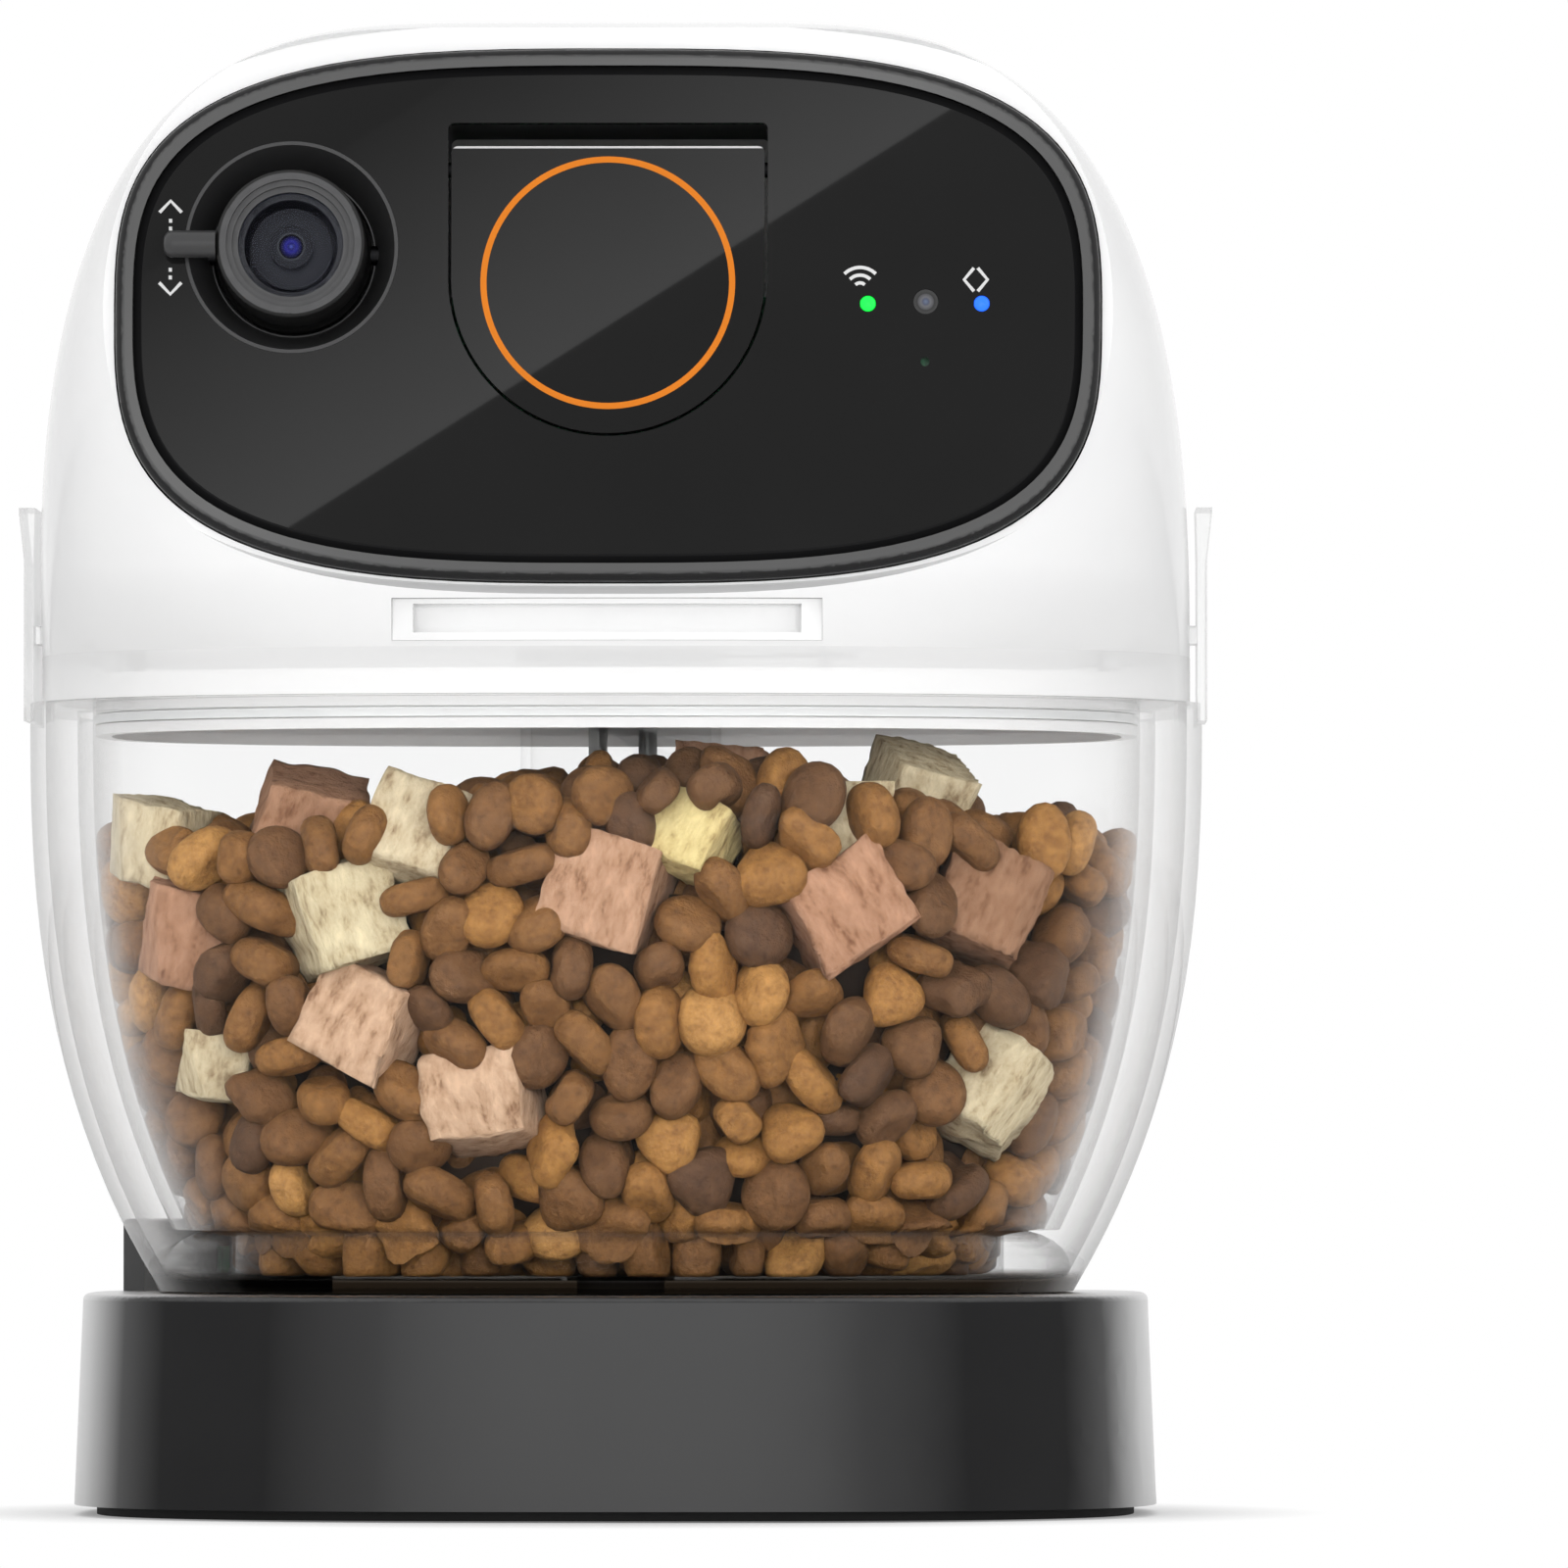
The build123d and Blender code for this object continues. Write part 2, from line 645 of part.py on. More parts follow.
with BuildPart() as liner_seat:
    seat_bottom = bowl_floor_top
    seat_rise = 6.0
    seat_rim = SEAT_TOP_Z - seat_rise
    seat_inset = BOWL_WALL + 0.2
    loft([bowl_section(seat_bottom, seat_inset), bowl_section(seat_rim, seat_inset)])
    # rounded shoulder, in short straight steps
    shoulder_steps = 6
    shoulder = []
    for step in range(shoulder_steps + 1):
        turn = math.pi / 2 * step / shoulder_steps
        inset = seat_inset + SEAT_SHOULDER * (1 - math.cos(turn))
        shoulder.append(bowl_section(seat_rim, inset).moved(Location((0, 0, seat_rise * math.sin(turn)))))
    for lower, upper in zip(shoulder, shoulder[1:]):
        loft([lower, upper], ruled=True)
    extrude(
        rounded_outline(
            level(seat_bottom), SEAT_INNER_HALF_WIDTH, SEAT_INNER_HALF_WIDTH * SEAT_DEPTH_SHARE
        ),
        amount=20,
        mode=Mode.SUBTRACT,
    )
liner_seat.part.label = "liner_seat"
export_step(liner_seat.part, "parts/liner_seat.step")

with BuildPart() as bowl_liner:
    liner_bottom = SEAT_TOP_Z
    loft([bowl_section(z, LINER_GAP) for z in heights(liner_bottom, RIM_Z - 0.1, 9)])
    # flange that hangs the liner in the rim
    flange_outline = bowl_section(RIM_Z, BOWL_WALL + 0.3)
    extrude(flange_outline.moved(Location((0, 0, -0.1 - LINER_FLANGE))), amount=LINER_FLANGE)
    loft(
        [bowl_section(z, LINER_GAP + LINER_WALL) for z in heights(liner_bottom, RIM_Z, 9)],
        mode=Mode.SUBTRACT,
    )
bowl_liner.part.label = "bowl_liner"
export_step(bowl_liner.part, "parts/bowl_liner.step")

with BuildPart() as treat_fill:
    extrude(
        rounded_outline(
            level(bowl_floor_top + 0.2),
            SEAT_INNER_HALF_WIDTH - 0.5,
            SEAT_INNER_HALF_WIDTH * SEAT_DEPTH_SHARE - 0.5,
        ),
        amount=SEAT_TOP_Z - bowl_floor_top,
    )
    fill_inset = LINER_GAP + LINER_WALL + 0.5
    loft([bowl_section(z, fill_inset) for z in heights(SEAT_TOP_Z + 0.2, FILL_TOP_Z, 8)])
    with Locations((0, SCREW_Y, 80)):
        Cylinder(TUBE_INNER_RADIUS + TUBE_WALL + 0.5, 120, mode=Mode.SUBTRACT)
treat_fill.part.label = "treat_fill"
export_step(treat_fill.part, "parts/treat_fill.step")

with BuildPart() as screw_bush:
    with BuildSketch(level(BOWL_BOTTOM_Z)):
        with Locations((0, SCREW_Y)):
            Circle(7.0)
    extrude(amount=BOWL_FLOOR)
    with BuildSketch(level(bowl_floor_top)):
        with Locations((0, SCREW_Y)):
            Circle(8.5)
    extrude(amount=1.2)
    with Locations((0, SCREW_Y, bowl_floor_top)):
        Cylinder(SCREW_HUB_RADIUS + RUNNING_FIT, 10, mode=Mode.SUBTRACT)
screw_bush.part.label = "screw_bush"
export_step(screw_bush.part, "parts/screw_bush.step")

with BuildPart() as lift_tube:
    with BuildSketch(level(bowl_floor_top)):
        with Locations((0, SCREW_Y)):
            Circle(TUBE_INNER_RADIUS + TUBE_WALL)
            Circle(TUBE_INNER_RADIUS, mode=Mode.SUBTRACT)
    extrude(amount=TUBE_TOP_Z - bowl_floor_top)
    # treats go in low down and come out at the top, both on the front side
    with Locations((0, SCREW_Y - TUBE_INNER_RADIUS, 50)):
        Box(20, 20, 24, mode=Mode.SUBTRACT)
    with Locations((0, SCREW_Y - TUBE_INNER_RADIUS, (OUTLET_BOTTOM_Z + OUTLET_TOP_Z) / 2)):
        Box(20, 20, OUTLET_TOP_Z - OUTLET_BOTTOM_Z, mode=Mode.SUBTRACT)
lift_tube.part.label = "lift_tube"
export_step(lift_tube.part, "parts/lift_tube.step")

with BuildPart() as contact_strips:
    with BuildSketch(level(BOWL_BOTTOM_Z + 0.1)):
        with Locations((0, SCREW_Y)):
            Circle(TUBE_INNER_RADIUS + TUBE_WALL + CONTACT_THICKNESS)
            Circle(TUBE_INNER_RADIUS + TUBE_WALL, mode=Mode.SUBTRACT)
        with Locations((-CONTACT_X, contact_y), (CONTACT_X, contact_y)):
            Rectangle(CONTACT_WIDTH, 4, mode=Mode.INTERSECT)
    extrude(amount=TUBE_TOP_Z - 1 - BOWL_BOTTOM_Z)
contact_strips.part.label = "contact_strips"
export_step(contact_strips.part, "parts/contact_strips.step")

with BuildPart() as tube_cap:
    with BuildSketch(level(TUBE_TOP_Z)):
        with Locations((0, SCREW_Y)):
            Circle(TUBE_INNER_RADIUS + TUBE_WALL)
            Circle(SCREW_NOSE_RADIUS + RUNNING_FIT, mode=Mode.SUBTRACT)
    extrude(amount=2)
    chamfer(tube_cap.faces().sort_by(Axis.Z)[-1].outer_wire().edges(), length=1.2)
tube_cap.part.label = "tube_cap"
export_step(tube_cap.part, "parts/tube_cap.step")

with BuildPart() as lift_screw:
    with BuildLine() as flight_path:
        Helix(
            SCREW_PITCH,
            SCREW_TOP_Z - SCREW_BOTTOM_Z,
            SCREW_RADIUS - 5,
            center=(0, SCREW_Y, SCREW_BOTTOM_Z),
        )
    with BuildSketch(Plane(flight_path.line @ 0, x_dir=(1, 0, 0), z_dir=flight_path.line % 0)):
        Rectangle(10, SCREW_FLIGHT)
    sweep(is_frenet=True)
    with BuildSketch(level(SCREW_BOTTOM_Z)):
        with Locations((0, SCREW_Y)):
            Circle(SCREW_SHAFT_RADIUS)
    extrude(amount=SCREW_TOP_Z + 5 - SCREW_BOTTOM_Z)
    with BuildSketch(level(SCREW_TOP_Z + 5)):
        with Locations((0, SCREW_Y)):
            Circle(SCREW_NOSE_RADIUS)
    extrude(amount=TUBE_TOP_Z + 1.5 - SCREW_TOP_Z - 5)
    # hub with the six-sided socket for the drive dog
    with BuildSketch(level(BOWL_BOTTOM_Z + 0.3)):
        with Locations((0, SCREW_Y)):
            Circle(SCREW_HUB_RADIUS)
    extrude(amount=11.5)
    with BuildSketch(level(BOWL_BOTTOM_Z)):
        with Locations((0, SCREW_Y)):
            RegularPolygon(DOG_ACROSS_FLATS / 2 + 0.15, 6, major_radius=False)
    extrude(amount=DOG_TOP_Z - BOWL_BOTTOM_Z + 0.8, mode=Mode.SUBTRACT)
lift_screw.part.label = "lift_screw"
export_step(lift_screw.part, "parts/lift_screw.step")

# ---------------------------------------------------------------- head

skirt_half_width = RIM_HALF_WIDTH - LINER_GAP - LINER_WALL - 0.5
skirt_half_depth = RIM_HALF_DEPTH - LINER_GAP - LINER_WALL - 0.5
floor_under = FLOOR_TOP_Z - 3.2
tube_hole_radius = TUBE_INNER_RADIUS + TUBE_WALL + 0.6
head_screw_places = [(x, y) for x in (-77.7, 77.7) for y in (-36, 36)]
frame_screw_places = [(-9, -34), (9, -34), (33, -30), (33, -14)]


def skirt_outline(z, inset):
    """Outline of the skirt that plugs the liner, moved inwards by inset."""
    return rounded_outline(level(z), skirt_half_width - inset, skirt_half_depth - inset)


with BuildPart() as head_floor:
    extrude(
        rounded_outline(level(HEAD_BOTTOM_Z), HEAD_HALF_WIDTH, HEAD_HALF_DEPTH),
        amount=FLOOR_TOP_Z - HEAD_BOTTOM_Z,
    )
    extrude(
        rounded_outline(level(HEAD_BOTTOM_Z), HEAD_HALF_WIDTH - SKIRT_WALL, HEAD_HALF_DEPTH - SKIRT_WALL),
        amount=floor_under - HEAD_BOTTOM_Z,
        mode=Mode.SUBTRACT,
    )
    # skirt that plugs the liner
    extrude(skirt_outline(PLUG_BOTTOM_Z, 0), amount=floor_under - PLUG_BOTTOM_Z)
    extrude(skirt_outline(PLUG_BOTTOM_Z, SKIRT_WALL), amount=floor_under - PLUG_BOTTOM_Z, mode=Mode.SUBTRACT)
    # groove for the seal
    extrude(skirt_outline(GROOVE_Z, -1), amount=GROOVE_HEIGHT, mode=Mode.SUBTRACT)
    extrude(skirt_outline(GROOVE_Z, 1.2), amount=GROOVE_HEIGHT)
    extrude(skirt_outline(GROOVE_Z, SKIRT_WALL), amount=GROOVE_HEIGHT, mode=Mode.SUBTRACT)
    # the lift tube comes up through the floor
    with Locations((0, SCREW_Y, floor_under)):
        Cylinder(tube_hole_radius, 12, mode=Mode.SUBTRACT)
    with Locations(*[(x, y, floor_under) for x, y in head_screw_places]):
        Cylinder(1.5, 12, mode=Mode.SUBTRACT)
    with Locations(*[(x, y, FLOOR_TOP_Z - 1) for x, y in frame_screw_places]):
        Cylinder(1.0, 2.2, mode=Mode.SUBTRACT)
    # slotted posts that hold the main board
    for x in (-BOARD_HALF_WIDTH, BOARD_HALF_WIDTH):
        with Locations((x, BOARD_Y + 0.8, FLOOR_TOP_Z)):
            Box(6, 5.6, 16, align=on_top)
        with Locations((x, BOARD_Y + 0.8, BOARD_BOTTOM_Z)):
            Box(7, 1.7, 20, align=on_top, mode=Mode.SUBTRACT)
head_floor.part.label = "head_floor"
export_step(head_floor.part, "parts/head_floor.step")

with BuildPart() as rim_seal:
    extrude(skirt_outline(GROOVE_Z + 0.2, -0.25), amount=GROOVE_HEIGHT - 0.4)
    extrude(skirt_outline(GROOVE_Z + 0.2, 1.15), amount=GROOVE_HEIGHT - 0.4, mode=Mode.SUBTRACT)
rim_seal.part.label = "rim_seal"
export_step(rim_seal.part, "parts/rim_seal.step")

with BuildPart() as head_screws:
    for x, y in head_screw_places:
        with Locations((x, y, floor_under - 1.8)):
            Cylinder(2.7, 1.8, align=on_top)
            Cylinder(1.3, 12, align=on_top)
head_screws.part.label = "head_screws"
export_step(head_screws.part, "parts/head_screws.step")

# Shell
grip_middle_z = (GRIP_BOTTOM_Z + GRIP_TOP_Z) / 2
button_posts = [(-BUTTON_POST_X, BUTTON_Y), (BUTTON_POST_X, BUTTON_Y)]


def face_pocket(back, grow):
    """The flat pocket that takes the face, as a solid that flares towards the front."""
    front = 14.0
    flare = POCKET_FLARE * (front - back)
    with BuildPart() as pocket:
        loft(
            [
                rounded_outline(
                    on_face(0, POCKET_V, proud),
                    POCKET_HALF_WIDTH + grow + extra,
                    POCKET_HALF_HEIGHT + grow + extra,
                    front_power=FACE_POWER,
                )
                for proud, extra in ((back, 0), (front, flare))
            ]
        )
    return pocket.part


with BuildPart() as head_form:
    loft([head_section(z, 0) for z in head_heights(FLOOR_TOP_Z, HEAD_TOP_Z, 13)])
    add(face_pocket(-FACE_STEP, 0), mode=Mode.SUBTRACT)

with BuildPart() as head_cavity:
    loft([head_section(z, SHELL_WALL) for z in head_heights(FLOOR_TOP_Z, HEAD_TOP_Z - SHELL_WALL, 13)])
    add(face_pocket(-FACE_STEP - SHELL_WALL, SHELL_WALL), mode=Mode.SUBTRACT)

with BuildPart() as speaker_collar:
    with BuildSketch(cross_plane(SPEAKER_X, SPEAKER_Y, SPEAKER_Z)):
        Circle(SPEAKER_RADIUS + 2)
        Circle(SPEAKER_RADIUS + 0.1, mode=Mode.SUBTRACT)
    extrude(amount=20)
    add(head_form.part, mode=Mode.INTERSECT)

with BuildPart() as head_shell:
    add(head_form.part)
    add(head_cavity.part, mode=Mode.SUBTRACT)
    add(speaker_collar.part)
    # opening for the bezel
    extrude(face_outline(-12, BEZEL_GAP), amount=14, mode=Mode.SUBTRACT)
    # window for the front grip
    with BuildSketch(cross_plane(0, -78, grip_middle_z)):
        Rectangle(2 * GRIP_HALF_WIDTH + 0.1, GRIP_TOP_Z - GRIP_BOTTOM_Z + 0.1)
    extrude(amount=12, mode=Mode.SUBTRACT)
    # screw bosses, standing on the floor against the wall
    with BuildSketch(level(FLOOR_TOP_Z)):
        with Locations(*head_screw_places):
            Circle(4.6)
    extrude(amount=10)
    with BuildSketch(level(FLOOR_TOP_Z)):
        with Locations(*head_screw_places):
            Circle(1.3)
    extrude(amount=8.5, mode=Mode.SUBTRACT)
    # posts for the button board, and the button opening
    with BuildSketch(level(BUTTON_BOARD_Z + BOARD_THICKNESS)):
        with Locations(*button_posts):
            Circle(2.4)
    extrude(amount=8.5)
    with BuildSketch(level(BUTTON_BOARD_Z + BOARD_THICKNESS)):
        with Locations(*button_posts):
            Circle(1.0)
    extrude(amount=5, mode=Mode.SUBTRACT)
    with BuildSketch(level(227)):
        with Locations((0, BUTTON_Y)):
            RectangleRounded(BUTTON_WIDTH + 0.6, BUTTON_DEPTH + 0.6, BUTTON_CORNER + 0.3)
    extrude(amount=10, mode=Mode.SUBTRACT)
    # speaker grille
    with BuildSketch(cross_plane(SPEAKER_X, SPEAKER_Y + 6.5, SPEAKER_Z)):
        Circle(0.9)
        for ring in (1, 2, 3):
            with PolarLocations(3.4 * ring, 6 * ring):
                Circle(0.9)
    extrude(amount=14, mode=Mode.SUBTRACT)
    # hinge lugs and slots for the side clips
    lug_top = CLIP_PIVOT_Z + 3.4
    for side in (-1, 1):
        with BuildSketch(cross_plane(side * CLIP_PIVOT_X, -9.6, CLIP_PIVOT_Z)):
            with Locations((side * 1.2, 0)):
                Rectangle(4.6, 5.2)
        extrude(amount=19.2)
        with Locations((side * CLIP_PIVOT_X, 0, (FLOOR_TOP_Z + lug_top) / 2)):
            Box(9, 13.2, lug_top - FLOOR_TOP_Z, mode=Mode.SUBTRACT)
        with BuildSketch(cross_plane(side * CLIP_PIVOT_X, -9.6, CLIP_PIVOT_Z)):
            Circle(CLIP_PIN_RADIUS)
        extrude(amount=19.2, mode=Mode.SUBTRACT)
head_shell.part.label = "head_shell"
export_step(head_shell.part, "parts/head_shell.step")

with BuildPart() as grip_recess:
    with Locations((0, -70, grip_middle_z + 0.2)):
        Box(2 * GRIP_HALF_WIDTH - 6.4, 24, GRIP_TOP_Z - GRIP_BOTTOM_Z - 2.0)
    extrude(head_section(GRIP_BOTTOM_Z, 3.4), amount=20, mode=Mode.SUBTRACT)

with BuildPart() as front_grip:
    extrude(head_section(GRIP_BOTTOM_Z, 0.3), amount=GRIP_TOP_Z - GRIP_BOTTOM_Z)
    extrude(head_section(GRIP_BOTTOM_Z, 5.0), amount=GRIP_TOP_Z - GRIP_BOTTOM_Z, mode=Mode.SUBTRACT)
    with Locations((0, -70, grip_middle_z)):
        Box(2 * GRIP_HALF_WIDTH, 24, 20, mode=Mode.INTERSECT)
    add(grip_recess.part, mode=Mode.SUBTRACT)
front_grip.part.label = "front_grip"
export_step(front_grip.part, "parts/front_grip.step")

# Side clips, squeezed at the top to free the hooks at the bottom
for side, side_name in ((-1, "left"), (1, "right")):
    with BuildPart() as side_clip:
        clip_plane = Plane(origin=(0, CLIP_HALF_DEPTH, 0), x_dir=(side, 0, 0), z_dir=(0, -side, 0))
        with BuildSketch(clip_plane):
            with BuildLine():
                Polyline(
                    (CLIP_OUTER_X, CLIP_BOTTOM_Z),
                    (CLIP_OUTER_X, CLIP_FLARE_Z),
                    (CLIP_TIP_OUTER_X, CLIP_TOP_Z - 1.0),
                    (CLIP_TIP_OUTER_X, CLIP_TOP_Z),
                    (CLIP_TIP_INNER_X, CLIP_TOP_Z),
                    (CLIP_INNER_X, CLIP_FLARE_Z),
                    (CLIP_INNER_X, CLIP_BOTTOM_Z),
                    close=True,
                )
            make_face()
        extrude(amount=side * 2 * CLIP_HALF_DEPTH)
        # knuckle and neck
        with BuildSketch(cross_plane(side * CLIP_PIVOT_X, -6, CLIP_PIVOT_Z)):
            Circle(1.9)
            with Locations((-side * 1.6, 0)):
                Rectangle(3.2, 2.8)
        extrude(amount=12)
        with BuildSketch(cross_plane(side * CLIP_PIVOT_X, -6, CLIP_PIVOT_Z)):
            Circle(CLIP_PIN_RADIUS + RUNNING_FIT)
        extrude(amount=12, mode=Mode.SUBTRACT)
    side_clip.part.label = f"side_clip_{side_name}"
    export_step(side_clip.part, f"parts/side_clip_{side_name}.step")

with BuildPart() as clip_pins:
    for side in (-1, 1):
        with BuildSketch(cross_plane(side * CLIP_PIVOT_X, -9.5, CLIP_PIVOT_Z)):
            Circle(CLIP_PIN_RADIUS)
        extrude(amount=19)
clip_pins.part.label = "clip_pins"
export_step(clip_pins.part, "parts/clip_pins.step")

# ---------------------------------------------------------------- face

panel_back = -PANEL_SETBACK - PANEL_THICKNESS
led_places = [(40.0, 0.9), (57.5, 0.9)]
sensor_place = (48.9, 1.2)
mic_place = (48.8, -8.1)
led_board_posts = [(38.0, -9.5), (60.0, -9.5)]
led_board_front = panel_back - 4.2


def flap_shape(proud, grow, top_v, corner=1.0):
    """The flap's outline: square at the top, round below."""
    half_width = FLAP_RADIUS + grow
    with BuildSketch(on_face(0, FLAP_V, proud)) as outline:
        Circle(half_width)
        height = top_v - FLAP_V
        with Locations((0, height / 2)):
            Rectangle(2 * half_width, height)
        # the square top is lower than the circle's
        with Locations((0, height + half_width)):
            Rectangle(3 * half_width, 2 * half_width, mode=Mode.SUBTRACT)
        fillet(outline.vertices().group_by(Axis.Z)[-1], radius=corner)
    return outline.sketch


def face_disc(u, v, proud, radius):
    with BuildSketch(on_face(u, v, proud)) as disc:
        Circle(radius)
    return disc.sketch


def camera_disc(proud, radius):
    return face_disc(CAMERA_U, CAMERA_V, proud, radius)


def rod_on_face(x, v, proud, radius):
    """A circle at x whose axis runs along X, at a place on the face."""
    place = face_plane.from_local_coords((0, v, proud))
    with BuildSketch(rod_plane(x, place.Y, place.Z)) as disc:
        Circle(radius)
    return disc.sketch


# flange behind the shell's wall, trimmed to the shell's inside
with BuildPart() as bezel_flange:
    extrude(face_outline(-BEZEL_DEPTH, 2.0), amount=BEZEL_DEPTH - FACE_STEP - SHELL_WALL - 0.05)
    add(head_cavity.part, mode=Mode.INTERSECT)

with BuildPart() as face_bezel:
    extrude(face_outline(-BEZEL_DEPTH, 0), amount=BEZEL_DEPTH)
    fillet(face_bezel.faces().sort_by(Axis.Y)[0].edges(), radius=BEZEL_ROUND)
    add(bezel_flange.part)
    extrude(face_outline(-BEZEL_DEPTH, -BEZEL_RIM - 2.2), amount=BEZEL_DEPTH, mode=Mode.SUBTRACT)
    extrude(face_outline(panel_back, -BEZEL_RIM), amount=5, mode=Mode.SUBTRACT)
face_bezel.part.label = "face_bezel"
export_step(face_bezel.part, "parts/face_bezel.step")

with BuildPart() as face_panel:
    extrude(face_outline(panel_back, -BEZEL_RIM - 0.05), amount=PANEL_THICKNESS)
    chamfer(face_panel.faces().sort_by(Axis.Y)[0].edges(), length=1.0, length2=1.4)
    # camera, flap, status light, light sensor and microphone openings
    extrude(camera_disc(panel_back - 1, SOCKET_RADIUS), amount=6, mode=Mode.SUBTRACT)
    extrude(flap_shape(panel_back - 1, FLAP_GAP, OPENING_TOP_V), amount=6, mode=Mode.SUBTRACT)
    with BuildSketch(on_face(0, 0, panel_back - 1)):
        with Locations(*led_places):
            Circle(1.25)
        with Locations(sensor_place):
            Circle(1.95)
        with Locations(mic_place):
            Circle(0.7)
    extrude(amount=6, mode=Mode.SUBTRACT)
    # posts for the light board
    with BuildSketch(on_face(0, 0, led_board_front)):
        with Locations(*led_board_posts):
            Circle(1.4)
    extrude(amount=panel_back - led_board_front)
face_panel.part.label = "face_panel"
export_step(face_panel.part, "parts/face_panel.step")

with BuildPart() as led_board:
    with BuildSketch(on_face(49, -3, led_board_front - BOARD_THICKNESS)):
        Rectangle(26, 18)
    extrude(amount=BOARD_THICKNESS)
    # microphone capsule
    extrude(face_disc(*mic_place, led_board_front, 2.6), amount=panel_back - 0.1 - led_board_front)
led_board.part.label = "led_board"
export_step(led_board.part, "parts/led_board.step")

with BuildPart() as status_leds:
    for place in led_places:
        extrude(face_disc(*place, led_board_front, 1.2), amount=-PANEL_SETBACK - 0.05 - led_board_front)
status_leds.part.label = "status_leds"
export_step(status_leds.part, "parts/status_leds.step")

with BuildPart() as light_sensor:
    extrude(face_disc(*sensor_place, led_board_front, 1.9), amount=-PANEL_SETBACK - 0.15 - led_board_front)
light_sensor.part.label = "light_sensor"
export_step(light_sensor.part, "parts/light_sensor.step")

# ---------------------------------------------------------------- camera

camera_pivot = face_plane.from_local_coords((CAMERA_U, CAMERA_V, -BALL_DEPTH))
socket_back = -24.0
glass_front = BARREL_PROUD - 2.4
glass_back = glass_front - 1.2

with BuildPart() as camera_socket:
    extrude(camera_disc(socket_back, SOCKET_RADIUS - 0.05), amount=-PANEL_SETBACK - socket_back)
    extrude(camera_disc(panel_back - 2.05, SOCKET_RADIUS + 2), amount=2)
    # dish that leaves the tilted barrel room, and the bore behind it for the ball
    loft(
        [camera_disc(-BALL_DEPTH, SOCKET_THROAT), camera_disc(-PANEL_SETBACK, SOCKET_MOUTH)],
        mode=Mode.SUBTRACT,
    )
    extrude(
        camera_disc(-SOCKET_BORE_DEPTH, BALL_RADIUS + 0.4),
        amount=SOCKET_BORE_DEPTH - BALL_DEPTH + 0.1,
        mode=Mode.SUBTRACT,
    )
    extrude(camera_disc(socket_back - 1, 4.0), amount=4, mode=Mode.SUBTRACT)
    pin_bore = rod_on_face(CAMERA_U - 20, CAMERA_V, -BALL_DEPTH, TILT_PIN_RADIUS + RUNNING_FIT)
    extrude(pin_bore, amount=40, mode=Mode.SUBTRACT)
camera_socket.part.label = "camera_socket"
export_step(camera_socket.part, "parts/camera_socket.step")

with BuildPart() as camera_ball:
    extrude(camera_disc(-BALL_DEPTH, BARREL_RADIUS), amount=BALL_DEPTH + BARREL_PROUD)
    fillet(camera_ball.faces().sort_by(Axis.Y)[0].edges(), radius=0.7)
    with Locations(camera_pivot):
        Sphere(BALL_RADIUS)
    # stepped rings around the glass
    for radius, depth in ((9.9, 0.8), (9.0, 1.6), (GLASS_RADIUS + 0.05, 3.6)):
        extrude(camera_disc(BARREL_PROUD - depth, radius), amount=depth, mode=Mode.SUBTRACT)
    extrude(camera_disc(-BALL_DEPTH, 7.2), amount=BALL_DEPTH + BARREL_PROUD, mode=Mode.SUBTRACT)
    # room for the camera module
    with Locations(camera_pivot):
        Sphere(10.2, mode=Mode.SUBTRACT)
    extrude(camera_disc(-BALL_DEPTH, 9.2), amount=BALL_DEPTH + glass_back - 1.2, mode=Mode.SUBTRACT)
    extrude(camera_disc(-BALL_DEPTH - 14, 3.5), amount=10, mode=Mode.SUBTRACT)
    # holes for the tilt pins and the lever's stub
    pin_hole = rod_on_face(CAMERA_U - 20, CAMERA_V, -BALL_DEPTH, TILT_PIN_RADIUS)
    extrude(pin_hole, amount=40, mode=Mode.SUBTRACT)
    extrude(rod_on_face(CAMERA_U - 12, CAMERA_V, LEVER_PROUD - 0.4, 0.5), amount=1.4, mode=Mode.SUBTRACT)
camera_ball.part.label = "camera_ball"
export_step(camera_ball.part, "parts/camera_ball.step")

with BuildPart() as tilt_pins:
    for start in (CAMERA_U - 16.3, CAMERA_U + 10.4):
        extrude(rod_on_face(start, CAMERA_V, -BALL_DEPTH, TILT_PIN_RADIUS), amount=5.9)
tilt_pins.part.label = "tilt_pins"
export_step(tilt_pins.part, "parts/tilt_pins.step")

with BuildPart() as tilt_lever:
    lever_length = LEVER_REACH - BARREL_RADIUS
    extrude(rod_on_face(CAMERA_U - LEVER_REACH, CAMERA_V, LEVER_PROUD, LEVER_RADIUS), amount=lever_length)
    fillet(tilt_lever.faces().sort_by(Axis.X)[0].edges(), radius=1.4)
    extrude(rod_on_face(CAMERA_U - 12.5, CAMERA_V, LEVER_PROUD - 0.4, 0.5), amount=1.9)
tilt_lever.part.label = "tilt_lever"
export_step(tilt_lever.part, "parts/tilt_lever.step")

with BuildPart() as lens_glass:
    extrude(camera_disc(glass_back, GLASS_RADIUS), amount=glass_front - glass_back)
lens_glass.part.label = "lens_glass"
export_step(lens_glass.part, "parts/lens_glass.step")

with BuildPart() as camera_module:
    with BuildSketch(on_face(CAMERA_U, CAMERA_V, -9.5)):
        Rectangle(13.4, 13.4)
    extrude(amount=1.2)
    extrude(camera_disc(-8.3, 6.3), amount=5.8)
    extrude(camera_disc(-2.5, 3.4), amount=glass_back - 0.3 + 2.5)
    # recess with the lens in it
    extrude(camera_disc(glass_back - 1.1, 1.9), amount=2, mode=Mode.SUBTRACT)
    extrude(camera_disc(glass_back - 1.2, 1.65), amount=0.6)
camera_module.part.label = "camera_module"
export_step(camera_module.part, "parts/camera_module.step")

# ---------------------------------------------------------------- flap

